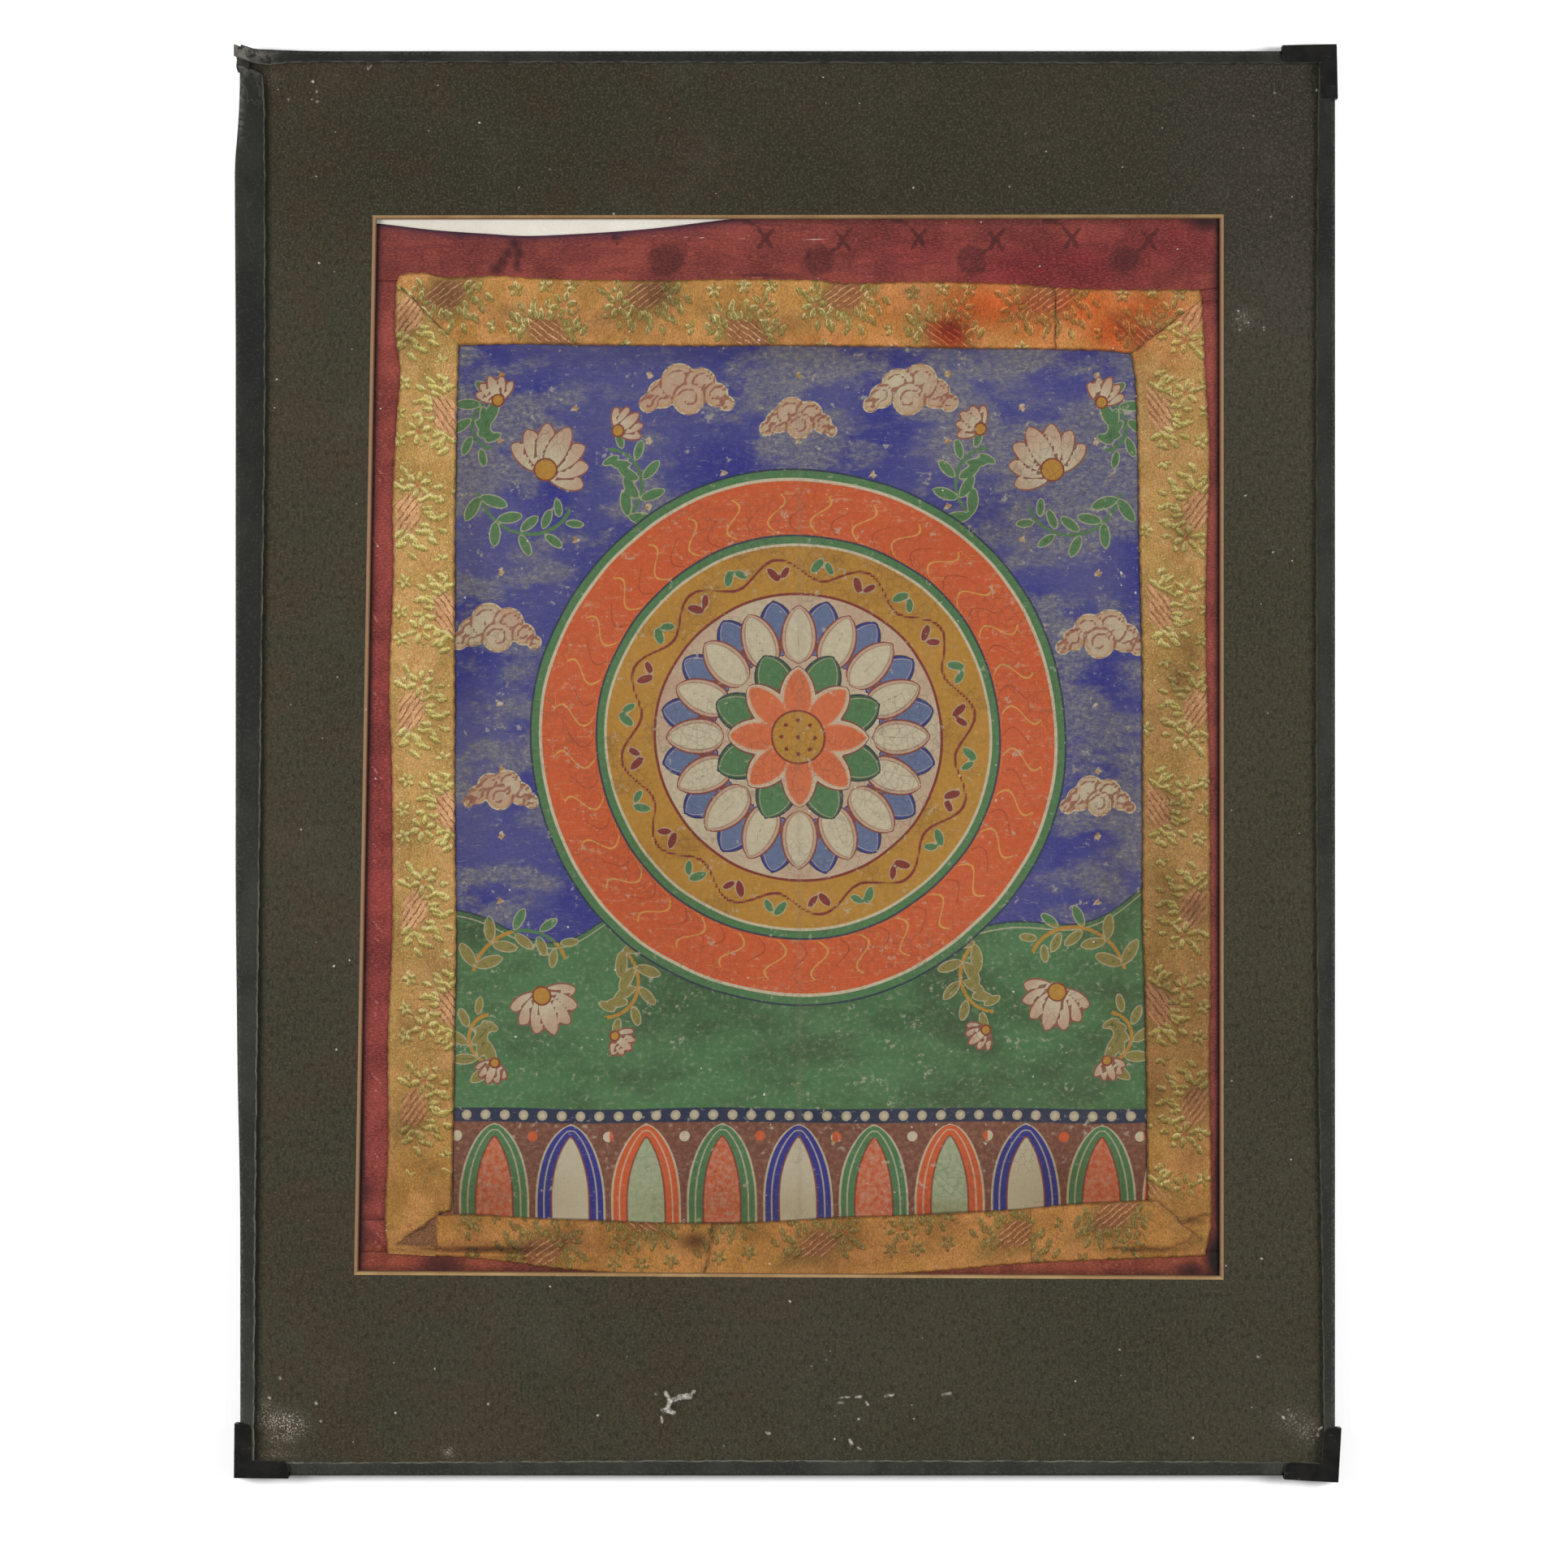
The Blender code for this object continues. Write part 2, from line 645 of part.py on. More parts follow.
def cut_for_cap(tape, name, beyond, panel_half, side_half, x_side, y_side, along_x):
    """Takes away a tape's side and back under a cap's arm, and leaves its front, which runs on underneath."""
    inner_end = panel_half + (beyond - CAP_CLEAR_MM) * MM - CAP_ARM
    outer_end = panel_half + 2 * CAP_W
    length, middle = outer_end - inner_end, (outer_end + inner_end) / 2
    front = Z_FRONT - GAP / 2
    blocks = (  # from and to, across the edge; top
        (side_half - 1.5 * TAPE_BACK_W_MM * MM, side_half + CAP_W, front),
        (side_half - GAP, side_half + CAP_W, 2 * front),
    )
    for number, (start, end, top) in enumerate(blocks):
        across, centre = end - start, (start + end) / 2
        height = top + GAP * 10
        size = (length, across, height) if along_x else (across, length, height)
        x, y = (middle, centre) if along_x else (centre, middle)
        block = add_box(
            f"{name}_{number}", size, (x_side * x, y_side * y, top - height / 2), "tape_grey", CUTTERS
        )
        cut(tape, block)


def build_tape():
    """The four tapes. Where a cap sits, only the tape's front runs on, under the cap."""
    half_w, half_h = PANEL_W / 2, PANEL_H / 2
    tapes = {
        -1: tape_strip("edge_tape_left", TAPE_LEFT_MM, "left", 30),
        1: tape_strip("edge_tape_right", TAPE_RIGHT_MM, "right", 20),
    }
    ends = {
        1: tape_strip("edge_tape_top", TAPE_TOP_MM, "top", 32),
        -1: tape_strip("edge_tape_bottom", TAPE_BOTTOM_MM, "bottom", 20),
    }
    for name, x_side, y_side, beyond_x, beyond_y, _ in CAP_MM:
        upright = (tapes[x_side], name + "_side", beyond_y, half_h, half_w)
        level = (ends[y_side], name + "_end", beyond_x, half_w, half_h)
        cut_for_cap(*upright, x_side, y_side, False)
        cut_for_cap(*level, x_side, y_side, True)


def cap_outline():
    """The L seen from the front, in the frame of a top-right corner whose outer corner is the origin."""
    arm, width, radius, steps = CAP_ARM, CAP_W, CAP_END_R, 5
    points = [(0, 0), (-arm, 0)]
    for i in range(steps + 1):
        angle = math.pi + i / steps * math.pi / 2
        points.append((-arm + radius + radius * math.cos(angle), -width + radius + radius * math.sin(angle)))
    points.append((-width, -width))
    for i in range(steps + 1):
        angle = math.pi + i / steps * math.pi / 2
        points.append((-width + radius + radius * math.cos(angle), -arm + radius + radius * math.sin(angle)))
    points.append((0, -arm))
    return points


def outline_solid(name, points, height, collection, material_name):
    """A flat outline as a filled curve, extruded by half its height each way and made a mesh."""
    curve = bpy.data.curves.new(name, "CURVE")
    curve.dimensions = "2D"
    curve.fill_mode = "BOTH"
    curve.extrude = height / 2
    spline = curve.splines.new("POLY")
    spline.points.add(len(points) - 1)
    for point, (x, y) in zip(spline.points, points):
        point.co = (x, y, 0, 1)
    spline.use_cyclic_u = True
    guide = bpy.data.objects.new(name + "_curve", curve)
    CUTTERS.objects.link(guide)
    depsgraph = bpy.context.evaluated_depsgraph_get()
    mesh = bpy.data.meshes.new_from_object(guide.evaluated_get(depsgraph))
    bpy.data.objects.remove(guide)
    work = bmesh.new()
    work.from_mesh(mesh)
    bmesh.ops.remove_doubles(work, verts=work.verts, dist=0.00001)
    bmesh.ops.recalc_face_normals(work, faces=work.faces)
    work.to_mesh(mesh)
    work.free()
    mesh.name = name
    return add_object(name, mesh, material_name, collection)


def build_caps():
    """The three caps: an L block whose inside is cut out for the panel's corner."""
    height = Z_CAP_FRONT + CAP_SHEET
    for name, x_side, y_side, beyond_x, beyond_y, turn in CAP_MM:
        corner = Vector((x_side * (PANEL_W / 2 + beyond_x * MM), y_side * (PANEL_H / 2 + beyond_y * MM), 0))
        place = Matrix.Translation(corner) @ Matrix.Rotation(math.radians(turn), 4, "Z")
        flip = Matrix.Diagonal((x_side, y_side, 1, 1))
        cap = outline_solid(name, cap_outline(), height, PART, "cap_black")
        room = CAP_ARM + 0.004
        inner_h = Z_CAP_FRONT - CAP_SHEET
        hollow = add_box(name + "_hollow", (room, room, inner_h), (0, 0, 0), "cap_black", CUTTERS)
        hollow.data.transform(
            Matrix.Translation((-CAP_WALL - room / 2, -CAP_WALL - room / 2, CAP_SHEET + inner_h / 2))
        )
        cap.data.transform(Matrix.Translation((0, 0, height / 2)))
        for thing in (cap, hollow):
            thing.data.transform(flip)
            if x_side * y_side < 0:
                thing.data.flip_normals()
            thing.matrix_world = place
        cut(cap, hollow)


build_boards()
build_silk()
build_painting()
build_brocade()
build_tape()
build_caps()
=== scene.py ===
"""Looks of the thangka in its taped glass mount: finer cloth and tape over the frame's solids, and materials.

The panel lies face up, as the frame says: +Z out of the picture and +Y towards its top. Tables and shapes are
in millimetres, and everything else is in metres.
"""

import math

import bmesh
import bpy
import numpy as np
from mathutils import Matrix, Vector


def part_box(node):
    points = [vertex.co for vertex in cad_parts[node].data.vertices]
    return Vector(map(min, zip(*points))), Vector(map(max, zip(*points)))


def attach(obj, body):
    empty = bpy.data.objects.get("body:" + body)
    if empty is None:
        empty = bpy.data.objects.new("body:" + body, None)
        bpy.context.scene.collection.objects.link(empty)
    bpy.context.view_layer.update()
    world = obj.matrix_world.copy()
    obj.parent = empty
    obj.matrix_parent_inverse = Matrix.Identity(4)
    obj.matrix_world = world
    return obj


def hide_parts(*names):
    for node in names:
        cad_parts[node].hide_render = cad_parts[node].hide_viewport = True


MM = 0.001
BODY = "root"

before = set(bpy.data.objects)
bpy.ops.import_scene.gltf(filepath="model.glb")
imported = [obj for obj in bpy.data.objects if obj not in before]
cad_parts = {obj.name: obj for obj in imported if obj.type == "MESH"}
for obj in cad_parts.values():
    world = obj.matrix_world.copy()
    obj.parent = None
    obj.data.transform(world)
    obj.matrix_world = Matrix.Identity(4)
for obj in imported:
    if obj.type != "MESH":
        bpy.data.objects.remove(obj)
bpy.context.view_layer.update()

# Heights and half sizes, in millimetres, from the frame's own solids
CLOTH_T = 1.0
SILK_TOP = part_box("silk_bottom")[0].z / MM + CLOTH_T
BROCADE_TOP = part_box("brocade_left")[0].z / MM + CLOTH_T
MAT_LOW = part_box("mat_board")[0].z / MM
GLASS_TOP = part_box("glass_pane")[1].z / MM
PANEL_X, PANEL_Y = (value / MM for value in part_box("glass_pane")[1].xy)

rng = np.random.default_rng(65)
CRUMPLE_WAVES = 7

# Driving tables, the same as the source's. Each row is a place along a strip and the edge's place across it.
WINDOW_MM = ((-189, 249.6), (198.6, 250), (198.6, -235.2), (-197.5, -233))
BEVEL_RUN_MM = 1.8
SEAM_GAP_MM = 0.3

BROCADE_TOP_OUTER_X_Y_MM = (
    (-178.3, 218.9), (-176.8, 222.6), (-167.6, 223.7), (-154, 221.5), (-132.5, 222.3), (-112.5, 221),
    (-60, 220.1), (-24.9, 220.8), (10.9, 220.4), (27, 218.9), (63.4, 219.5), (100.9, 218.6), (141.2, 216.1),
    (187.5, 215.8), (188.8, 211.5),
)
BROCADE_TOP_INNER_X_Y_MM = (
    (-150, 190.6), (-124.5, 191), (-51.9, 190.3), (10.9, 190.3), (76.7, 189.2), (141.2, 188.3),
    (156.5, 186.8),
)
BROCADE_LEFT_OUTER_Y_X_MM = (
    (218.9, -178.3), (198.4, -179), (178.3, -176.6), (155.4, -178.3), (113.6, -180.1), (92.6, -179.6),
    (33.1, -181.6), (-7.2, -180.3), (-70, -180.1), (-132.8, -182.3), (-169.8, -182), (-206.7, -183.5),
    (-223.4, -182.3),
)
BROCADE_LEFT_INNER_Y_X_MM = (
    (190.6, -150), (155.4, -150.9), (88.9, -151.7), (-22, -151.7), (-77.4, -151.1), (-132.8, -152),
    (-203.4, -153.3), (-205.2, -159.6), (-225, -159.9),
)
BROCADE_RIGHT_OUTER_Y_X_MM = (
    (211.5, 188.8), (199.7, 189.4), (173.8, 190.5), (140.6, 192.3), (92.6, 190.8), (66.7, 190.5),
    (-7.2, 192.3), (-95.9, 192.9), (-132.8, 192.3), (-206.7, 193.2), (-224.5, 190.3),
)
BROCADE_RIGHT_INNER_Y_X_MM = (
    (186.8, 156.5), (172.9, 158.7), (155.4, 159.4), (88.9, 160.5), (33.4, 161.8), (-70, 161.7),
    (-114.4, 163.1), (-199, 164.1),
)
BROCADE_BOTTOM_OUTER_X_Y_MM = (
    (-159.4, -224.6), (-136.9, -226.3), (-97.7, -231.1), (-44.5, -234.1), (10.9, -234.8), (63.4, -231.9),
    (111.8, -227.8), (158.7, -225.9), (190.3, -224.5),
)
BROCADE_BOTTOM_INNER_X_Y_MM = (
    (-159.4, -206), (-153.3, -205.6), (-102.9, -207.8), (-34.5, -209.7), (23.1, -207.1), (84.8, -204.5),
    (138.4, -200.5), (164.1, -199),
)
TOP_SEAM_X_MM = 122
BOTTOM_SEAMS_X_MM = (-37.6, 110.8)

PAINTING_TUCK_MM = 5
SILK_TUCK_MM = 6
SILK_UNDER_MAT_MM = 7
SILK_TOP_EDGE_X_Y_MM = (
    (-196.5, 247), (-187.3, 246.1), (-159.4, 242.9), (-139.3, 241.5), (-119.2, 240.4), (-92.2, 241.5),
    (-65.4, 243.4), (-29, 247.7), (-3.9, 250.3), (47.9, 252.6), (205.6, 253.5),
)
SILK_INNER_X_MM = (-172, 183)
SILK_SEAMS_LEFT_Y_MM = (219.9, -208, -222.6)
SILK_SEAMS_RIGHT_Y_MM = (215.2, 218, 209.8)

# Folds: the line that each runs along, its height and half its width
BROCADE_FOLDS_MM = (
    (-181, -220.4, -160, -222.8, 0.9, 1.3), (-160, -223.2, -116, -224.8, 1, 1.2),
    (-176, -214.2, -164.5, -208.6, 0.8, 1.6), (144, -223.2, 172, -223.2, 0.7, 1.2),
    (172, -223.2, 186, -216, 0.7, 1.3), (180, -207.4, 191, -203.4, 0.7, 1.4),
    (166, -204, 176, -211, 0.5, 2.2), (53.8, -209.4, 84.8, -207.4, 0.5, 2), (160, 207.5, 184, 212, 0.4, 2.5),
)
PAINTING_FOLDS_MM = (
    (5.4, 200, 5.4, -215, 0.5, 3), (143.2, 196, 143.2, 172, 0.4, 2), (-120, 150, -20, 158, 0.25, 5),
    (40, -60, 150, -48, 0.3, 6), (-140, -118, -30, -126, 0.3, 6), (60, 96, 66, 20, 0.25, 4),
)
SILK_FOLDS_MM = (
    (-125, 236.5, -40, 236, 0.3, 1.6), (20, 238.5, 130, 238, 0.3, 1.6), (-20, 230, 30, 232.5, 0.3, 2.5),
    (-190, 150, -180, 142, 0.3, 2.5), (-192, 30, -182, 20, 0.3, 2.5), (-193, -60, -184, -72, 0.3, 2.5),
    (192, 120, 197, 108, 0.3, 2.5),
)

# Edge tape. Each row: place along the edge, the side's play off the panel, and the front flange's width.
TAPE_BACK_W_MM = 9
TAPE_LEFT_MM = (
    (317.4, 1.6, 0.8), (316, 1.1, 3.2), (314.8, 0.5, 8.6), (305, 0.6, 9.6), (293.6, 1.1, 9.9),
    (268.4, 2.8, 10.1), (181.2, 2.4, 10.2), (60, 2.4, 8.8), (-40.5, 2.4, 7.6), (-129.1, 1.7, 6.6),
    (-217.8, 0.3, 5.7), (-265.9, 0.3, 5.4), (-323, 0.3, 5.1),
)
TAPE_RIGHT_MM = (
    (323, 0.3, 6.2), (302, 0.3, 6.6), (199.7, 0.3, 7.3), (15, 0.3, 7.5), (-132.8, 0.3, 6.5), (-250, 0.3, 4.6),
    (-323, 0.3, 3.9),
)
TAPE_TOP_MM = (
    (-248, 0.9, 4.4), (-239, 1.1, 5.6), (-228, 0.7, 4.3), (-210.8, 0.3, 4), (-26, 0.3, 4.3), (150, 0.3, 4.5),
    (248, 0.3, 4.6),
)
TAPE_BOTTOM_MM = (
    (-248, 0.3, 4.8), (-150, 0.3, 5.2), (-26, 0.3, 5.8), (120, 0.3, 5.7), (195.7, 0.3, 5.4), (248, 0.3, 5),
)
FLAP_LENGTH_MM, FLAP_TIP_X_MM, FLAP_RISE_MM, FLAP_SWING_MM = 14, -252, 2.6, 3.4


# Shapes, as functions of arrays in millimetres


def ramp(value):
    return np.clip(value, 0.0, 1.0)


def blend(low, high, share):
    return low + (high - low) * share


def repeated(value, pitch):
    """The place within one of the cells of that pitch, from its middle."""
    return (value + pitch / 2) % pitch - pitch / 2


def smooth_table(table, at):
    """The table's second column at places in its first, on a smooth curve that never overshoots a row."""
    rows = np.array(sorted(table))
    places, values = rows[:, 0], rows[:, 1]
    at = np.clip(at, places[0], places[-1])
    spans = np.diff(places)
    steps = np.diff(values) / spans
    before, after = steps[:-1], steps[1:]
    same_way = before * after > 0
    total = np.where(same_way, before + after, 1.0)
    middle = np.where(same_way, 2 * before * after / total, 0.0)
    slopes = np.concatenate((steps[:1], middle, steps[-1:]))
    i = np.clip(np.searchsorted(places, at) - 1, 0, len(spans) - 1)
    t, span = (at - places[i]) / spans[i], spans[i]
    return (
        (1 + 2 * t) * (1 - t) ** 2 * values[i]
        + t * (1 - t) ** 2 * span * slopes[i]
        + t * t * (3 - 2 * t) * values[i + 1]
        + t * t * (t - 1) * span * slopes[i + 1]
    )


def segment_distance(x, y, x0, y0, x1, y1):
    """Distance to a line's nearest point."""
    dx, dy = x1 - x0, y1 - y0
    along = ramp(((x - x0) * dx + (y - y0) * dy) / (dx**2 + dy**2))
    return np.hypot(x - x0 - along * dx, y - y0 - along * dy)


def fold_height(x, y, folds):
    lift = np.zeros_like(x)
    for *line, height, half_width in folds:
        lift = np.maximum(lift, height * np.exp(-((segment_distance(x, y, *line) / half_width) ** 2)))
    return lift


def uneven(s, phase):
    """Unevenness from 0 to 1 along a line."""
    wave = np.sin(s / 5.3 + phase) + 0.7 * np.sin(s / 8.9 + 2.1 * phase)
    wave += 0.5 * np.sin(s / 3.1 + phase * phase)
    return ramp(0.5 + wave / 4.4)


def inside_window(x, y, margin):
    """1 where a place is the margin or more inside the mat's lower edge, falling to 0 at that edge."""
    nearest = np.full_like(x, 1e9)
    for (ax, ay), (bx, by) in zip(WINDOW_MM, WINDOW_MM[1:] + WINDOW_MM[:1]):
        side = ((x - ax) * (by - ay) - (y - ay) * (bx - ax)) / math.hypot(bx - ax, by - ay)
        nearest = np.minimum(nearest, side)
    return ramp((nearest - BEVEL_RUN_MM - SEAM_GAP_MM) / margin)


def crumple(x, y, size, seed):
    """Smooth unevenness from about -1 to 1, of about that size, from crossed sines."""
    turns = np.random.default_rng(seed)
    total = np.zeros_like(x)
    for _ in range(CRUMPLE_WAVES):
        angle, phase = turns.uniform(0, 2 * math.pi, 2)
        reach = size * turns.uniform(0.7, 1.6)
        total += np.sin((x * math.cos(angle) + y * math.sin(angle)) * 2 * math.pi / reach + phase)
    return total / 4


def spots(x, y, table):
    """The strongest of some soft round spots, each x, y, half its size along X and Y, and strength."""
    total = np.zeros_like(x)
    for cx, cy, rx, ry, strength in table:
        total = np.maximum(total, strength * np.exp(-(((x - cx) / rx) ** 2) - ((y - cy) / ry) ** 2))
    return total


def turned_place(x, y, cx, cy, angle):
    """The place along and across a line through a centre, turned by the angle in degrees."""
    turn = math.radians(angle)
    along = (x - cx) * math.cos(turn) + (y - cy) * math.sin(turn)
    return along, np.abs((y - cy) * math.cos(turn) - (x - cx) * math.sin(turn))


def leaf(x, y, cx, cy, angle, length, width):
    """Signed distance, negative inside, of a pointed leaf at a centre, turned by the angle in degrees."""
    along, across = turned_place(x, y, cx, cy, angle)
    t = ramp(along / length + 0.5)
    beyond = np.maximum(np.abs(along) - length / 2, 0)
    half = width / 2 * (4 * t * (1 - t)) ** 0.6
    return np.hypot(np.maximum(across - half, 0), beyond) - np.maximum(half - across, 0)


# Meshes


def grid_faces(columns, rows, first=0):
    """The faces of a grid whose points are numbered row by row from the first."""
    corner = (np.arange(rows)[:, None] * (columns + 1) + np.arange(columns)[None, :]).ravel() + first
    return np.stack((corner, corner + 1, corner + columns + 2, corner + columns + 1), axis=1).tolist()


def link(name, data):
    thing = bpy.data.objects.new(name, data)
    bpy.context.scene.collection.objects.link(thing)
    return thing


def new_piece(name, points, faces, fields):
    """A piece from its points in metres, with a number at each point for each of the fields."""
    mesh = bpy.data.meshes.new(name)
    mesh.from_pydata(points, [], faces)
    for key, values in fields.items():
        layer = mesh.attributes.new(key, "FLOAT", "POINT")
        layer.data.foreach_set("value", np.ascontiguousarray(values, dtype=np.float32).ravel())
    return link(name, mesh)


def sheet_grid(name, columns, rows, place, fields):
    """An open grid over u and v from 0 to 1. place gives x, y, z in millimetres, fields what it carries."""
    u, v = np.meshgrid(np.linspace(0, 1, columns + 1), np.linspace(0, 1, rows + 1))
    points = np.stack([np.broadcast_to(a, u.shape).ravel() for a in place(u, v)], axis=1) * MM
    piece = new_piece(name, points.tolist(), grid_faces(columns, rows), fields(u, v))
    piece.data.shade_smooth()
    return piece


def finish_piece(piece, material, replaced=()):
    """Gives a piece its material and body, and hides the solids that it stands for."""
    piece.data.materials.append(material)
    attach(piece, BODY)
    if replaced:
        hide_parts(*replaced)


def rolled_edge(share, reach, drop):
    """How far a strip's rim turns down: fully at both ends of the share, and not at all past the reach."""
    return drop * ramp(1 - np.minimum(share, 1 - share) / reach) ** 1.5


# Materials


class Value:
    """What a node gives at each point. Sums and products of it add their own nodes."""

    def __init__(self, paint, socket):
        self.paint = paint
        self.socket = socket

    def __add__(self, other):
        return self.paint.math("ADD", self, other)

    def __sub__(self, other):
        return self.paint.math("SUBTRACT", self, other)

    def __mul__(self, other):
        return self.paint.math("MULTIPLY", self, other)

    def __abs__(self):
        return self.paint.math("ABSOLUTE", self)

    def step(self, low, high, to_low=0, to_high=1):
        """A smooth step from to_low to to_high as the value goes from low to high."""
        feeds = (self, low, high, to_low, to_high)
        return self.paint.add("ShaderNodeMapRange", feeds, interpolation_type="SMOOTHSTEP")

    def inside(self, edge=0, soft=0.12):
        """1 where a signed distance is below the edge."""
        return self.step(edge - soft, edge + soft, 1, 0)

    def line(self, at, half_width, soft=0.12):
        """1 where a distance is near a value."""
        return abs(self - at).inside(half_width, soft)


class Paint:
    """A material's node tree, and the colour that its layers have made so far."""

    def __init__(self, name, roughness=0.8, specular=0.3):
        self.material = bpy.data.materials.new(name)
        self.material.use_nodes = True
        self.tree = self.material.node_tree
        self.shader = self.tree.nodes["Principled BSDF"]
        self.set("Roughness", roughness)
        self.set("Specular IOR Level", specular)
        self.mm = self.vector("SCALE", {0: self.add("ShaderNodeTexCoord", (), "Object"), "Scale": 1 / MM})
        self.x, self.y, self.z = self.split(self.mm)
        self.colour = None

    def feed(self, value, socket):
        if isinstance(value, Value):
            self.tree.links.new(value.socket, socket)
        elif socket.type == "RGBA":
            socket.default_value = (*value, 1)
        else:
            socket.default_value = value

    def set(self, name, value):
        self.feed(value, self.shader.inputs[name])

    def add(self, kind, feeds, output=0, **settings):
        """Adds a node, whose inputs are given in order or by name, and returns what it gives."""
        node = self.tree.nodes.new(kind)
        for key, value in settings.items():
            setattr(node, key, value)
        for key, value in feeds.items() if isinstance(feeds, dict) else enumerate(feeds):
            self.feed(value, node.inputs[key])
        return Value(self, node.outputs[output])

    def math(self, operation, *feeds):
        return self.add("ShaderNodeMath", feeds, operation=operation)

    def vector(self, operation, feeds):
        return self.add("ShaderNodeVectorMath", feeds, operation=operation)

    def split(self, place):
        """A vector's three parts."""
        node = self.tree.nodes.new("ShaderNodeSeparateXYZ")
        self.feed(place, node.inputs[0])
        return [Value(self, part) for part in node.outputs]

    def normal(self):
        return self.split(self.add("ShaderNodeTexCoord", (), "Normal"))

    def field(self, name):
        """A number that the mesh carries at each point."""
        return self.add("ShaderNodeAttribute", (), "Fac", attribute_name=name)

    def noise(self, size_mm, detail=3, roughness=0.5, stretch=(1, 1, 1), distortion=0, seed=0):
        """Cloudy noise from 0 to 1 with features of about that size, drawn out along the stretched axes."""
        place = self.vector("MULTIPLY", (self.mm, [1 / (size_mm * share) for share in stretch]))
        if seed:
            place = self.vector("ADD", (place, (seed * 7.3, seed * 3.1, seed * 5.7)))
        feeds = {"Vector": place, "Scale": 1, "Detail": detail, "Roughness": roughness}
        return self.add("ShaderNodeTexNoise", {**feeds, "Distortion": distortion})

    def mix(self, share, a, b, blend_type="MIX"):
        return self.add("ShaderNodeMix", {0: share, 6: a, 7: b}, 2, data_type="RGBA", blend_type=blend_type)

    def over(self, share, tint):
        """Lays a tint over the colour so far."""
        self.colour = self.mix(share, self.colour, tint)

    def tint(self, share, factors):
        """Multiplies the colour so far, where the share is."""
        self.over(share, self.mix(1, self.colour, factors, "MULTIPLY"))

    def shade(self, factor):
        """Multiplies the colour so far by a grey."""
        self.colour = self.mix(1, self.colour, self.add("ShaderNodeCombineColor", [factor] * 3), "MULTIPLY")

    def fill(self, field, tint, soft=0.16, edge=0):
        """Paints the inside of a shape, which is named or given."""
        field = self.field(field) if isinstance(field, str) else field
        self.over(field.inside(edge, soft), tint)

    def rule(self, field, at, half_width, tint, strength=0.9):
        """Paints a line at a distance from a shape's outline."""
        field = self.field(field) if isinstance(field, str) else field
        self.over(field.line(at, half_width) * strength, tint)

    def bump(self, height, distance_mm, strength):
        feeds = {"Strength": strength, "Distance": distance_mm * MM, "Height": height}
        self.set("Normal", self.add("ShaderNodeBump", feeds))

    def weave(self, pitch_mm):
        """Crossed threads as a height from 0 to 1."""
        across, along = (self.math("SINE", place * (math.pi / pitch_mm)) for place in (self.x, self.y))
        return abs(across * along)

    def done(self):
        self.set("Base Color", self.colour)
        return self.material


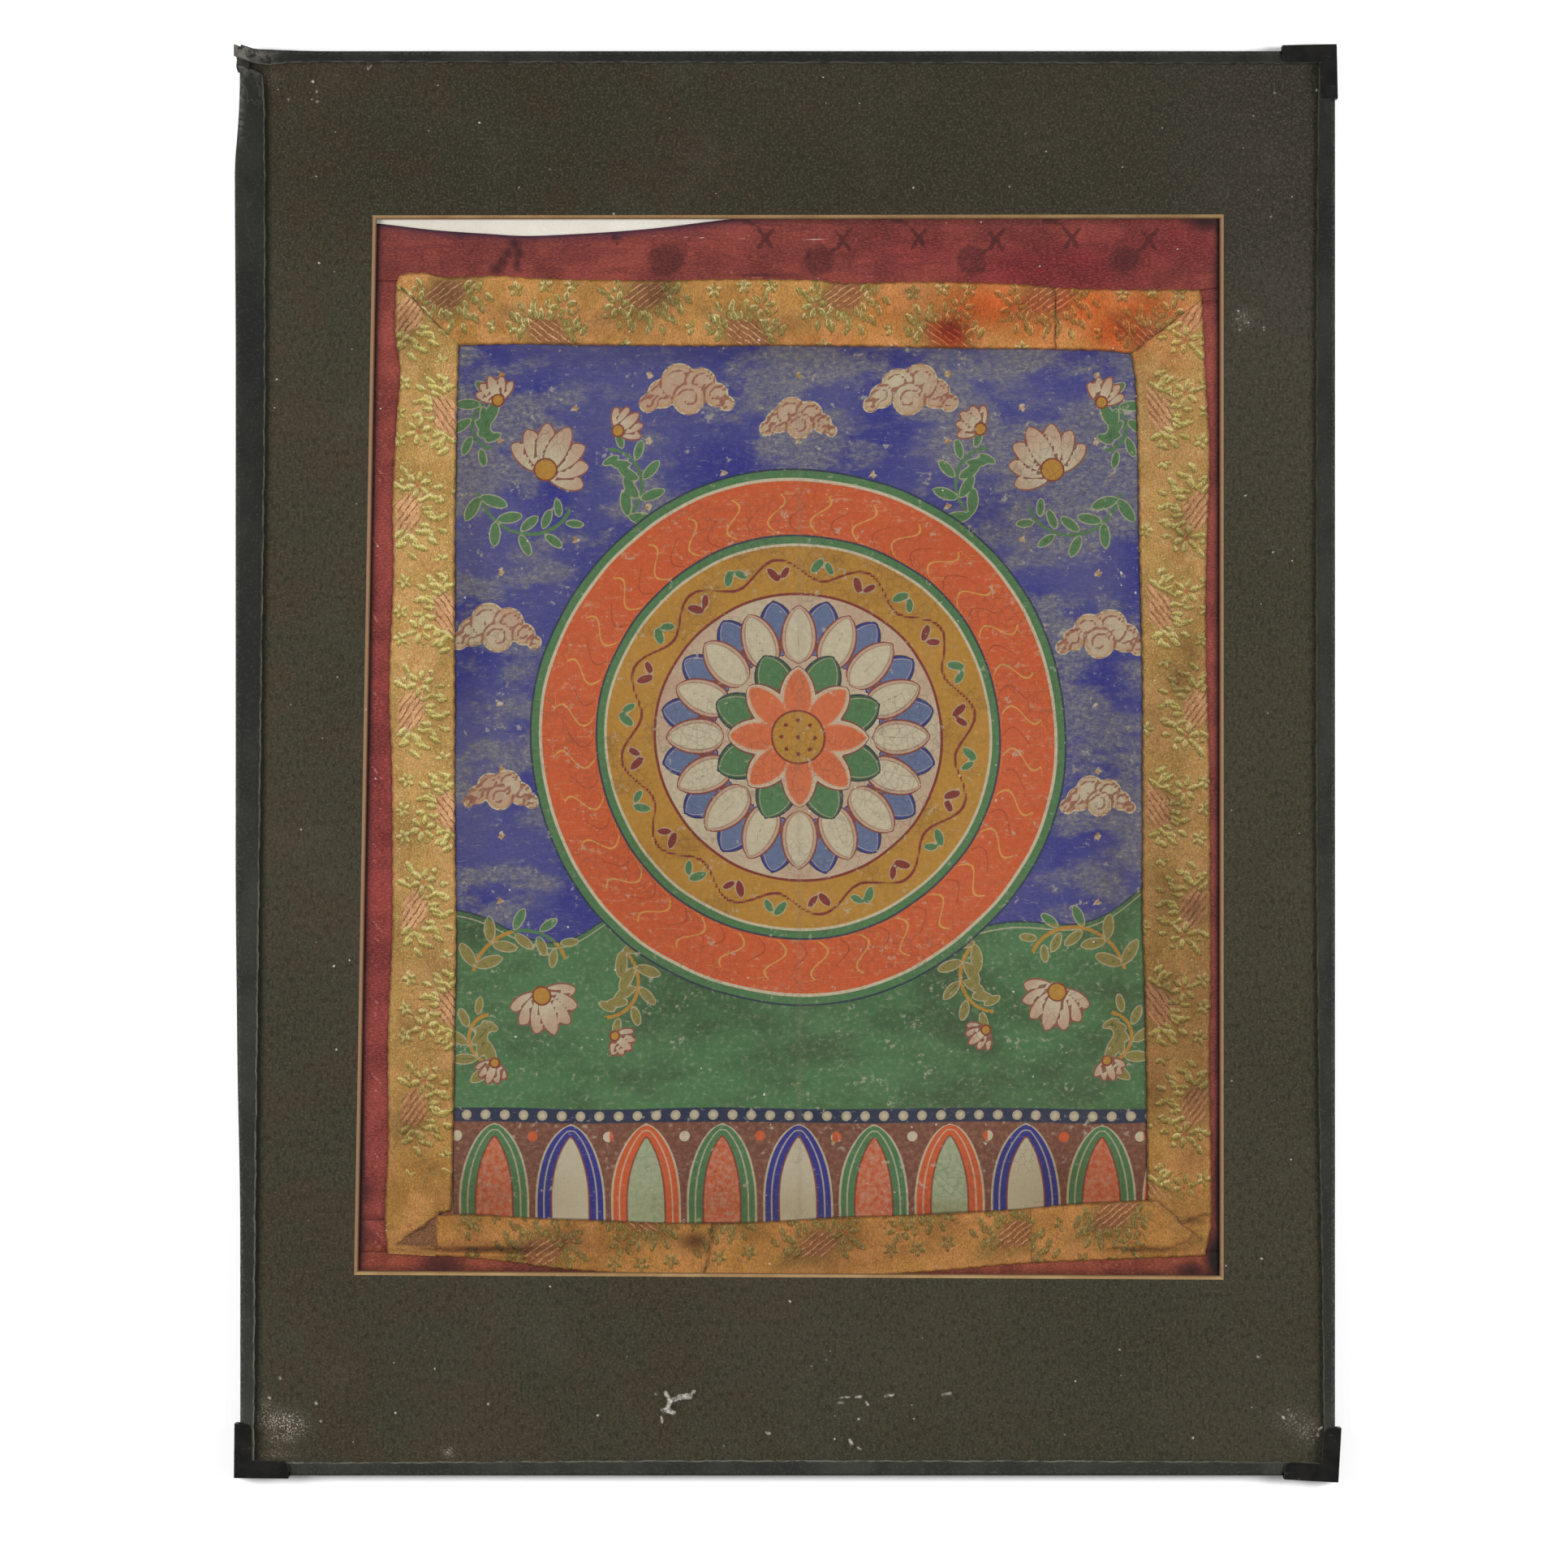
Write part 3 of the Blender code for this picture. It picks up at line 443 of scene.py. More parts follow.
def painted_cotton_material():
    """Matt colours on canvas. Each colour fills or lines a shape whose distance the mesh carries."""
    p = Paint("painted_cotton", 0.9, 0.06)
    ground = (0.36, 0.31, 0.245)
    blue, lilac = (0.028, 0.029, 0.195), (0.15, 0.145, 0.21)
    green, deep_green = (0.068, 0.15, 0.066), (0.045, 0.085, 0.04)
    orange, rust = (0.47, 0.085, 0.03), (0.3, 0.055, 0.025)
    ochre, deep_ochre = (0.37, 0.18, 0.034), (0.25, 0.11, 0.022)
    white, pink = (0.45, 0.375, 0.275), (0.4, 0.25, 0.18)
    crimson, navy, sky = (0.17, 0.028, 0.024), (0.022, 0.028, 0.06), (0.1, 0.125, 0.23)
    wide, fine = p.noise(60), p.noise(2.2, 3, 0.6)
    patches = p.noise(26, 4, 0.6, (1.8, 1, 1), seed=2)

    # Blue above and green below, each worn in long strokes
    abraded = (patches + p.y.step(90, 190, 0, 0.05)).step(0.46, 0.6)
    scratches = p.noise(1.3, 4, 0.75, (2.6, 1, 1), 0.9, 31).step(0.48, 0.64)
    p.colour = p.mix(wide.step(0.35, 0.65), blue, p.mix(0.25, blue, lilac))
    p.over(abraded * fine.step(0.3, 0.7, 0.35, 0.75), (0.165, 0.155, 0.165))
    p.over(scratches * abraded.step(0, 1, 0.1, 0.55), (0.27, 0.24, 0.21))
    meadow = p.mix(patches.step(0.35, 0.7), green, deep_green)
    meadow = p.mix(fine.step(0.5, 0.75) * 0.35, meadow, (0.22, 0.24, 0.15))
    hill = p.field("hill")
    p.fill(hill, meadow, 0.3)
    p.rule(hill, 0, 0.45, navy, 0.8)
    p.rule(hill, -2.6, 0.35, white, 0.6)

    # Small flowers on the blue, and clouds with curls
    open_sky = p.field("star").inside() * (hill * -1).inside(-6, 0.3)
    p.over(open_sky * 0.85, p.mix(fine.step(0.4, 0.6), ochre, white))
    cloud = p.field("cloud")
    p.fill(cloud, p.mix(wide.step(0.35, 0.6), white, pink), 0.2)
    p.over(cloud.step(-2.6, -0.4) * (cloud.inside() * 0.55), ochre)
    p.rule(cloud, -0.3, 0.4, white)
    p.rule("cloud_line", 0, 0.55, (0.22, 0.06, 0.05), 0.8)

    # Sprays in the corners
    spray, blossom, heart = (p.field(name) for name in ("spray", "blossom", "heart"))
    p.fill("stem", p.mix(hill.inside(), green, ochre))
    p.fill(spray, p.mix(hill.inside(), green, p.mix(0.55, ochre, green)))
    p.rule(spray, -0.2, 0.28, white, 0.55)
    p.rule("rib", 0, 0.28, deep_green, 0.8)
    p.fill(blossom, p.mix(p.field("tone").step(0.1, 0.95), white, pink))
    p.rule(blossom, -0.35, 0.42, crimson, 0.85)
    p.fill(heart, ochre)
    p.rule(heart, -0.3, 0.4, crimson)

    # The medallion's rings, from the outside in
    radius, vine_leaf = p.field("radius"), p.field("vine_leaf")
    p.fill(radius, green, edge=122)
    p.rule(radius, 122, 0.45, navy)
    p.fill(radius, white, edge=118.2)
    strokes = p.noise(2, 4, 0.65, (9, 1, 1), 0.4) * 0.7 + p.noise(3, 4, 0.6, seed=5) * 0.6
    p.fill(radius, p.mix(strokes.step(0.7, 0.86) * 0.55, orange, (0.5, 0.26, 0.15)), edge=116.8)
    p.rule("rays", 0, 0.5, (0.52, 0.27, 0.07), 0.8)
    p.rule("rays_back", 0, 0.4, rust, 0.85)
    p.fill(radius, green, edge=92)
    p.rule(radius, 92, 0.45, navy)
    p.fill(radius, white, edge=88.4)
    p.fill(radius, p.mix(patches.step(0.5, 0.72) * 0.6, ochre, deep_ochre), edge=87.2)
    p.fill("vine", crimson)
    p.fill(vine_leaf, p.mix(p.field("turning").step(-0.1, 0.1), green, crimson))
    p.rule(vine_leaf, -0.1, 0.25, white, 0.6)
    p.fill(radius, crimson, edge=66)
    p.fill(radius, p.mix(wide.step(0.3, 0.7), white, pink), edge=64.8)

    # The lotus, back petals first
    for name, body, tip, rim, inner_rim in (
        ("petal_back", sky, blue, navy, white),
        ("petal_front", white, pink, crimson, crimson),
        ("petal_inner", green, deep_green, navy, white),
        ("petal_core", (0.5, 0.12, 0.05), white, crimson, white),
    ):
        petal = p.field(name)
        p.fill(petal, p.mix(petal.step(-3.2, -0.6), body, tip))
        p.rule(petal, -0.15, 0.42, rim)
        p.rule(petal, -1.9, 0.28, inner_rim, 0.5)
    p.rule("vein", 0, 0.3, crimson, 0.55)
    p.fill(radius, ochre, edge=12)
    p.rule(radius, 12, 0.5, crimson)
    p.fill("seeds", crimson)

    # The band of petals at the foot, with a bead row over it
    band, arch, which, bead = (p.field(name) for name in ("band", "arch", "arch_tint", "bead"))
    p.fill(band, p.mix(fine.step(0.4, 0.7), (0.15, 0.055, 0.04), (0.2, 0.085, 0.055)))
    p.rule(band, -0.4, 0.4, ochre)
    first, second = which.step(0.4, 0.6), which.step(1.4, 1.6)
    inner = p.mix(second, p.mix(first, white, orange), (0.26, 0.3, 0.18))
    p.fill(arch, p.mix(second, p.mix(first, blue, green), orange))
    p.rule(arch, -0.1, 0.4, white, 0.8)
    p.rule(arch, -2.8, 0.3, white, 0.65)
    p.fill(arch, p.mix(fine.step(0.3, 0.7), inner, p.mix(0.4, inner, ground)), edge=-5.6)
    p.rule(arch, -5.6, 0.35, crimson, 0.8)
    p.fill("bead_row", navy)
    p.fill(bead, p.mix(bead.step(-1.6, -0.4), white, (0.34, 0.27, 0.2)))
    p.fill("dot", p.mix(p.math("SINE", p.x * 0.31).step(-0.1, 0.1), white, orange))

    # A thin dark rule along the edges, mostly under the brocade
    p.over(p.field("rim").inside(0.5, 0.3) * 0.6, (0.055, 0.02, 0.014))

    # Wear: rubbing to the primed cloth, creases, water stains, cracks and dirt
    p.over((fine * 0.55 + p.noise(9, 5, 0.7, seed=8) * 0.75).step(0.76, 0.83) * 0.6, ground)
    p.over(p.noise(1.1, 4, 0.75, (4, 1, 1), 0.8, 3).step(0.58, 0.72) * 0.4, (0.34, 0.3, 0.25))
    p.over(p.noise(0.8, 4, 0.75, (1, 9, 1), 0.5, 13).step(0.64, 0.74) * 0.25, (0.36, 0.32, 0.27))
    p.over(p.field("crease") * 0.2, (0.2, 0.16, 0.12))
    p.tint(p.field("stain"), (0.6, 0.5, 0.36))
    p.over(0.09, p.mix(wide.step(0.3, 0.7), (0.08, 0.065, 0.05), (0.2, 0.16, 0.12)))
    cells = {"Vector": p.vector("MULTIPLY", (p.mm, (1 / 3.4, 1 / 4.2, 1))), "Scale": 1}
    cracks = p.add("ShaderNodeTexVoronoi", cells, "Distance", feature="DISTANCE_TO_EDGE")
    crack = cracks.step(0.015, 0.06, 1, 0) * patches.step(0.45, 0.6)
    p.over(crack * 0.28, (0.06, 0.05, 0.045))
    p.over(p.noise(1.1, 2, seed=11).step(0.74, 0.79) * 0.7, (0.03, 0.025, 0.02))
    threads = p.weave(0.62)
    p.shade((threads * 0.5 + fine * 0.9).step(0.2, 1.1, 0.72, 1.02))
    p.bump(threads * 0.35 + (fine * 0.5 + crack * -0.5), 0.14, 0.8)
    return p.done()


def brocade_material():
    """Gold satin with woven leaves and hatched patches, painted sheen and glints on the threads, painted shade
    in its tucks and folds, and old stains.
    """
    p = Paint("brocade", 0.6, 0.22)
    pale, brown, rose = (0.72, 0.62, 0.27), (0.27, 0.105, 0.045), (0.67, 0.36, 0.19)
    light = p.field("lightness")
    fine, grain = p.noise(0.8, 3, 0.6), p.noise(0.35, 2, 0.6, (1, 5, 1), seed=3)
    p.colour = p.mix(p.noise(30).step(0.35, 0.65), (0.45, 0.245, 0.072), (0.34, 0.175, 0.044))
    p.over(p.noise(14, seed=6).step(0.4, 0.6) * 0.7, (0.52, 0.265, 0.105))
    # Painted glints: pale specks where the gold threads catch the light
    painted_glint_specks = p.noise(1.1, 2, 0.7, distortion=2.6, seed=4).step(0.54, 0.62)
    p.over(painted_glint_specks * light.step(0, 1, 0.2, 0.75), pale)
    p.over(p.noise(1.7, 3, 0.7, distortion=1.5, seed=14).step(0.56, 0.68) * 0.35, (0.24, 0.12, 0.035))
    # Painted sheen: browner where the satin catches little light
    p.tint(light.step(0, 0.6, 0.8, 0), (1.05, 0.89, 0.76))

    # Hatched patches: dark with pale lines, or the other way where the satin has its painted sheen
    stripe = p.math("PINGPONG", p.field("hatch") + p.noise(5, seed=9) * 2, 1.25)
    broken = p.noise(2.4, 3, 0.6, seed=29).step(0.36, 0.52)
    dark_weave = p.mix(stripe.step(0.84, 1.12) * broken, brown, (0.58, 0.34, 0.17))
    light_weave = p.mix(stripe.step(0.1, 0.42, 1, 0) * broken, rose, (0.145, 0.055, 0.022))
    clear = p.math("SUBTRACT", 1, p.field("faded"))
    frayed = p.field("patch") + p.noise(2, 3, 0.6, seed=1) * 3.4
    on_patch = frayed.inside(1.7, 1) * clear
    p.over(frayed.inside(6.5, 4.5) * light.step(0, 1, 0.55, 0.16) * clear, (0.17, 0.11, 0.03))
    sheen = light * p.noise(8, 2, seed=19).step(0.4, 0.66, 0.55, 1)
    p.over(on_patch * 0.92, p.mix(sheen, dark_weave, light_weave))

    # Leaves with painted light: pale on the side towards the panel's top and olive on the other, a painted
    # shadow beside them and painted glints over them
    ragged = p.field("leaf") + (p.noise(1.6, 2, seed=12) - 0.5) * 0.6
    leaf_lit, leaf_dark = p.field("leaf_lit"), p.field("leaf_dark")
    on_leaf = ragged.inside(0.1, 0.25) * clear
    # Painted shadow beside each leaf, away from the panel's top
    p.over(leaf_dark.inside(0.15, 0.3) * clear * light.step(0, 1, 0.3, 0.6), (0.22, 0.125, 0.03))
    lit_side = p.mix(light, (0.265, 0.2, 0.042), (0.62, 0.51, 0.17))
    shaded_side = p.mix(light, (0.19, 0.135, 0.027), (0.29, 0.215, 0.05))
    leafy = p.mix((leaf_dark - leaf_lit).step(-0.45, 0.4), shaded_side, lit_side)
    # Painted sheen: pale threads over the leaves, most where the satin catches the light
    threads = p.noise(0.7, 2, 0.6, (1, 2.4, 1), seed=24).step(0.5, 0.62)
    leafy = p.mix(threads * light.step(0, 1, 0.28, 0.5), leafy, pale)
    leafy = p.mix(ragged.step(-0.45, 0) * 0.45, leafy, p.mix(light, (0.15, 0.11, 0.02), shaded_side))
    at_foot = p.y.step(-198, -190, 0.8, 0)
    leafy = p.mix(at_foot, leafy, p.mix(threads.step(0, 1), (0.195, 0.128, 0.028), (0.34, 0.25, 0.08)))
    p.over(on_leaf * 0.9, leafy)
    # Painted highlights along the leaves' lit rims
    lit = leaf_lit.inside(-0.05, 0.3) * ragged.step(-0.55, -0.05) * clear
    glint = lit * p.noise(3.6, 2, seed=15).step(0.44, 0.58) * at_foot.step(0, 0.8, 0.85, 0.25)
    p.over(glint, (0.82, 0.71, 0.37))
    p.over(p.field("heart_spot").inside(0, 0.4) * 0.7, (0.38, 0.13, 0.05))

    # Rose bleeding, dimness, stains with painted shade along some folds, the worn rim, the folded corner and
    # painted shade in the tucks
    blush = p.field("blush")
    p.tint(p.math("MINIMUM", blush, 1), p.mix(blush.step(0.9, 1.6), (1.08, 0.47, 0.28), (0.95, 0.22, 0.12)))
    p.tint(p.field("dim"), (0.5, 0.42, 0.36))
    p.tint(p.y.step(-205, -60, 1, 0), (0.95, 0.88, 0.78))
    # Stains, and painted shade along the folds at the foot
    p.tint(p.field("stain"), (0.3, 0.24, 0.2))
    p.tint(p.noise(10, 4, 0.65, seed=22).step(0.4, 0.68) * 0.38, (0.7, 0.58, 0.45))
    p.tint(p.field("rim").step(0, 1.6, 1, 0) * 0.5, (0.5, 0.38, 0.25))
    folded_in = p.mix(fine.step(0.35, 0.65), (0.125, 0.046, 0.023), (0.195, 0.082, 0.038))
    p.over(p.field("corner_patch").inside(-0.3, 0.7) * 0.95, folded_in)
    # Painted shade: a dark line in each tuck and seam, and a soft darkening beside it
    tuck = p.field("tuck")
    p.over(tuck.inside(0.2, 0.28) * 0.9, (0.085, 0.04, 0.018))
    p.tint(tuck.step(0, 2.2, 1, 0) * 0.35, (0.5, 0.38, 0.28))
    p.shade((fine + grain).step(0.6, 1.4, 0.62, 1.34))
    p.set("Roughness", on_leaf.step(0, 1, 0.65, 0.42))
    ribs = p.math("SINE", p.field("across_thread") * (2 * math.pi / 0.8))
    height = fine * 0.7 + (ribs * 0.1 + on_leaf * 0.6)
    p.bump(height + stripe * on_patch * 0.4 + painted_glint_specks * 0.3, 0.45, 1)
    return p.done()


def silk_material():
    """Faded maroon satin with darker damask motifs, a fine cross rib, loose pale threads and worn lines, and
    painted shade along the mat's edges and in its seams.
    """
    p = Paint("damask_silk", 0.6, 0.2)
    wine, rose, dark = (0.118, 0.014, 0.012), (0.235, 0.042, 0.032), (0.042, 0.005, 0.007)
    fine, rib = p.noise(0.7, 3, 0.6), p.noise(0.5, 2, stretch=(3, 1, 1), seed=2)
    p.colour = p.mix((p.noise(35, seed=1) + p.noise(11, 3, 0.6, seed=5) * 0.8).step(0.65, 1.15), wine, rose)
    top = p.y.step(205, 225)
    streaks = p.noise(3, 3, 0.6, (8, 1, 1), seed=8).step(0.44, 0.62)
    p.over(streaks * top.step(0, 1, 0.12, 0.55), (0.115, 0.016, 0.018))
    p.tint(p.math("MINIMUM", p.field("crimson"), 1) * 0.95, (0.92, 0.28, 0.64))
    p.over(rib.step(0.42, 0.7) * 0.35, (0.33, 0.085, 0.068))

    # The woven motifs, and blots and painted shade over them
    fray = (p.noise(1.8, 3, 0.6, seed=6) - 0.5) * 0.8
    p.over((p.field("motif") + fray * 2.4).inside(0.05, 0.4) * p.field("motif_depth"), dark)
    blotch = p.field("blotch") + (p.noise(5, 4, 0.65, seed=16) - 0.5) * 6
    p.over(blotch.inside(0, 1.6) * p.noise(1.6, 3, 0.7, seed=26).step(0.3, 0.7, 0.35, 0.8), dark)
    blot = p.field("blot")
    # Blots, and painted shade along the mat's window edges, near black where strongest
    p.over((blot + (p.noise(4, 4, 0.65, seed=36) - 0.5) * 0.7).step(0.15, 0.85) * 0.85, dark)
    p.over(blot.step(0.8, 1.1), (0.01, 0.002, 0.003))

    # Worn threads, a long pulled one, and crinkles that catch the light
    p.over(p.noise(1, 2, 0.6, distortion=3, seed=14).step(0.68, 0.74) * 0.22, (0.42, 0.16, 0.15))
    pulled = (p.field("thread") + p.noise(24, 2, seed=4) * 0.2).inside(0.28, 0.14)
    p.over(pulled * p.noise(9, 3, 0.6, (1.6, 1, 1), seed=7).step(0.46, 0.54) * 0.9, (0.66, 0.5, 0.46))
    crinkle = p.field("crinkle").inside(0.38, 0.34) * p.noise(1.8, seed=18).step(0.42, 0.58)
    p.over(crinkle * 0.6, (0.55, 0.2, 0.19))
    p.shade((fine + rib).step(0.6, 1.4, 0.74, 1.26))
    p.tint(top * 0.45, (0.7, 0.6, 0.6))
    p.over(p.field("violet"), (0.03, 0.01, 0.03))
    p.tint(p.field("shadow"), (0.22, 0.2, 0.24))
    p.tint(p.y.step(-222, -212, 1, 0), (0.92, 1, 0.68))
    # Painted shade in the seams
    p.over(p.field("seam").inside(0.25, 0.35) * 0.85, dark)
    p.bump(fine + rib * 0.8, 0.18, 0.8)
    return p.done()


def mat_material():
    """Dark olive card with a felted face and a painted shadow beside the left tape, and its pale core showing
    on the bevel and the cut edges, with painted light and shade.
    """
    p = Paint("mat_card", 0.95, 0.03)
    fine, fibre = p.noise(1, 2, 0.6), p.noise(1.5, 2, 0.6, (1, 2, 1), seed=4)
    clouding = p.noise(90, 2, seed=3).step(0.3, 0.7)
    p.colour = p.mix(clouding, (0.0365, 0.0335, 0.0222), (0.0435, 0.0385, 0.0265))
    p.shade(p.y.step(180, 270, 1, 0.74))
    p.over(fine.step(0.5, 0.66) * 0.7, (0.082, 0.07, 0.048))
    p.over(fibre.step(0.5, 0.62) * 0.5, (0.017, 0.016, 0.011))
    p.over(p.noise(1.3, 2, 0.6, seed=14).step(0.58, 0.68) * 0.32, (0.08, 0.045, 0.028))
    p.tint(p.noise(30, 3, 0.6, seed=9).step(0.42, 0.62) * p.x.step(-150, 150, 0.75, 0.15), (1.14, 0.93, 0.9))
    p.tint(p.x.step(120, 235) * p.y.step(60, 250) * 0.7, (1.04, 1.03, 1.26))
    p.over(p.noise(40, 4, 0.7, seed=12).step(0.52, 0.75) * 0.1, (0.1, 0.092, 0.072))
    # Painted shadow of the left tape's raised edge, on the mat beside it
    from_left_tape = p.x - p.y * 0.0085 + 240.6
    p.over(from_left_tape.step(0, 4.6, 1, 0) * 0.6, (0.014, 0.014, 0.012))
    face = p.colour

    # The core, with painted shade at its foot and painted light and shade by the way that it faces
    facing_x, facing_y, facing_up = p.normal()
    p.colour = p.mix(p.noise(16, 2, seed=21).step(0.38, 0.62), (0.45, 0.275, 0.12), (0.37, 0.205, 0.085))
    # Painted light and shade: the core by the way that it faces
    p.over(abs(facing_x).step(0.3, 0.5), (0.33, 0.185, 0.115))
    p.tint(facing_y.step(-0.5, -0.3, 1, 0) * 0.8, (0.62, 0.6, 0.68))
    p.tint(facing_y.step(0.3, 0.5) * 0.8, (0.78, 0.83, 0.95))
    p.over(p.noise(0.5, 2, 0.6, seed=2).step(0.5, 0.7) * 0.4, (0.55, 0.4, 0.24))
    # Painted shade at the core's foot
    p.over(p.z.step(MAT_LOW + 0.2, MAT_LOW + 0.75, 1, 0) * 0.8, (0.08, 0.045, 0.025))
    p.colour = p.mix(facing_up.step(0.8, 0.92, 1, 0), face, p.colour)
    p.bump(fine + fibre * 0.6, 0.2, 0.8)
    return p.done()


def board_material():
    """Warm white card, foxed and a little dusty."""
    p = Paint("backing_card", 0.85, 0.1)
    fine = p.noise(0.8, 3, 0.6)
    p.colour = p.mix(p.noise(45, 4, 0.6, seed=3).step(0.35, 0.7), (0.68, 0.62, 0.585), (0.6, 0.535, 0.49))
    p.over(p.noise(7, 3, 0.6, seed=5).step(0.68, 0.76) * 0.5, (0.45, 0.31, 0.18))
    p.shade(fine.step(0.3, 0.7, 0.93, 1.03))
    p.bump(fine, 0.08, 0.5)
    return p.done()


def tape_material():
    """Dark grey paper tape: creased, scuffed along its folds and worn pale at its torn end."""
    p = Paint("paper_tape", 0.7, 0.06)
    fine, wide = p.noise(0.9, 3, 0.7), p.noise(25, 3, 0.6, (1, 2, 1), seed=3)
    fold = p.field("fold")
    p.colour = p.mix(wide.step(0.35, 0.7), (0.0135, 0.0142, 0.0122), (0.0235, 0.0235, 0.0192))
    p.over(fine.step(0.52, 0.7) * 0.4, (0.05, 0.05, 0.044))
    p.over(fold * fine.step(0.42, 0.6) * 0.5, (0.085, 0.08, 0.07))
    p.over(fold * p.y.step(-318, -312, 0.8, 0), (0.01, 0.01, 0.009))
    worn_tone = p.mix(p.noise(4, 2, seed=15).step(0.4, 0.6), (0.082, 0.082, 0.07), (0.15, 0.135, 0.12))
    p.over(p.field("worn") * p.noise(2.6, 3, 0.6, seed=5).step(0.36, 0.56) * 0.85, worn_tone)
    ridge = abs(p.noise(6.5, 2, stretch=(1, 2.4, 1), seed=25) - 0.5)
    p.over(ridge.inside(0.006, 0.012) * p.field("creased") * 0.8, (0.105, 0.1, 0.085))
    edge = p.field("edge").step(0.25, 1, 1, 0) * p.noise(5, 3, 0.6, seed=8).step(0.34, 0.58, 0.35, 1)
    p.over(edge * p.x.step(150, 240, 0.8, 0.35), (0.13, 0.127, 0.105))
    p.shade(p.y.step(-320, 320, 1.2, 0.76))
    p.bump(fine + wide * 0.5, 0.2, 0.6)
    return p.done()


def cap_material():
    """Black moulded plastic with a fine texture, scuffed, and a painted highlight on its softened rim."""
    p = Paint("moulded_plastic", 0.5, 0.1)
    wide = p.noise(8, 4, 0.6, seed=3)
    level = p.normal()[2]
    p.colour = p.mix(wide.step(0.4, 0.7), (0.003, 0.003, 0.0025), (0.006, 0.0056, 0.0048))
    p.over(p.noise(1.2, 3, 0.7, (4, 1, 1), 0.6, 6).step(0.64, 0.72) * 0.5, (0.07, 0.066, 0.06))
    # Painted highlight: a greyer line on the softened rim
    p.over(level.step(0.25, 0.6) * level.step(0.8, 0.97, 1, 0) * 0.8, (0.075, 0.08, 0.06))
    p.set("Roughness", wide.step(0.35, 0.7, 0.44, 0.6))
    p.bump(p.noise(0.5, 3, 0.6), 0.08, 0.5)
    return p.done()


def glass_material():
    """Clear picture glass: what lies behind shows through, under a faint gloss."""
    p = Paint("picture_glass")
    p.tree.nodes.remove(p.shader)
    clear = p.add("ShaderNodeBsdfTransparent", {"Color": (0.965, 0.975, 0.96)})
    gloss = p.add("ShaderNodeBsdfGlossy", {"Roughness": 0.05})
    fresnel = p.add("ShaderNodeFresnel", {"IOR": 1.45})
    pane = p.add("ShaderNodeMixShader", (fresnel * 0.3, clear, gloss))
    p.feed(pane, p.tree.nodes["Material Output"].inputs["Surface"])
    return p.material


def film_material():
    """Dried smears, bits and speckled grime on the glass, thin enough to see through between the grains."""
    p = Paint("dried_film", 0.9, 0.05)
    smear = p.field("smear")
    pale = p.mix(p.noise(0.5, 2, 0.6).step(0.35, 0.65), (0.3, 0.28, 0.24), (0.5, 0.47, 0.43))
    dusty = p.mix(p.noise(1.4, 2, seed=3).step(0.4, 0.6), (0.4, 0.3, 0.26), (0.46, 0.43, 0.36))
    p.colour = p.mix(smear.step(0, 0.8), pale, dusty)
    body = smear + (p.noise(1.5, 4, 0.7, distortion=1) - 0.5) * 1.7
    paste = body.inside(-0.1, 0.5) * p.noise(2.2, 3, 0.6, seed=5).step(0.34, 0.62, 0.12, 0.75)
    grains, clouds = p.noise(0.9, 2, 0.7, seed=8), p.noise(7, 3, 0.6, seed=9)
    grime = p.field("grime") * (grains.step(0.53, 0.63) * 0.85 + clouds.step(0.3, 0.75) * 0.16)
    dust = smear.step(-1.1, -0.8, 0.55, 0)
    p.set("Alpha", p.math("MINIMUM", p.math("MAXIMUM", paste, dust) + grime, 1))
    return p.done()


# Painted cotton: a lotus medallion between corner sprays, over a band of petals

MEDALLION_MM = (5, 12)
PETALS = 16
BAND_TOP_MM = -158
ARCH_PITCH_MM, ARCH_HEIGHT_MM, ARCH_FOOT_MM, ARCH_MIDDLE_X_MM = 34.6, 37, -201.5, 5
BEAD_PITCH_MM, BEAD_Y_MM, BEAD_R_MM = 8.65, -160.5, 2.3
STAR_PITCH_X_MM, STAR_PITCH_Y_MM = 34, 30
VINE_R_MM, VINE_WAVES = 76.6, 12
PAINTING_STAINS_MM = (
    (-140, -200, 45, 16, 0.75), (-20, -203, 60, 14, 0.6), (70, -206, 24, 9, 0.7), (130, -196, 50, 22, 0.7),
    (150, -60, 14, 110, 0.35), (-146, 60, 9, 120, 0.35), (10, 188, 150, 7, 0.45), (96, 112, 30, 18, 0.25),
    (-60, -60, 28, 40, 0.22),
)
# A cloud's lobes: middle x and y from the cloud's own middle, radius, and the way its curl turns
CLOUDS_MM = (
    (-13, -3, 8, 1), (-4.5, 3.5, 9.5, 1), (7, 2, 8.6, -1), (15.5, -4, 6.4, -1), (1, -6, 8.4, 1),
    (-20.5, -8, 5, 1), (21.5, -8.5, 4, -1),
)
# Clouds: middle x and y, size, and 1 or -1 for the way each faces
CLOUD_PLACES_MM = (
    (-133, 62, 0.82, 1), (143, 60, 0.82, -1), (-131, -12, 0.68, -1), (141, -14, 0.68, 1), (-46, 171, 0.86, 1),
    (56, 171, 0.86, -1), (5, 158, 0.7, 1),
)
# Sprays: root, the ways it mirrors, and the size of its bloom
SPRAYS_MM = (
    (-110, 138, 1, 1, 31), (121, 138, -1, 1, 31), (-112, -110, 1, -1, 26), (123, -108, -1, -1, 26),
)
# A spray's curls: middle, radius, and the angles between which it runs
CURLS_MM = ((-4, -12, 27, 185, 330), (26, -8, 21, -60, 80), (-22, 14, 14, 90, 260))
HIDDEN = 30.0  # a distance that paints nothing
PETAL_PEAK = 0.43**0.45 * 0.57**0.6  # the greatest width of a petal's raw outline
BLOOM_STEP_DEG, BLOOM_PETAL_W, BLOOM_PEAK, BLOOM_HEART_R = 28, 0.235, 0.48, 0.24  # in shares of its size
RAYS, RAYS_FOOT_R = 32, 93


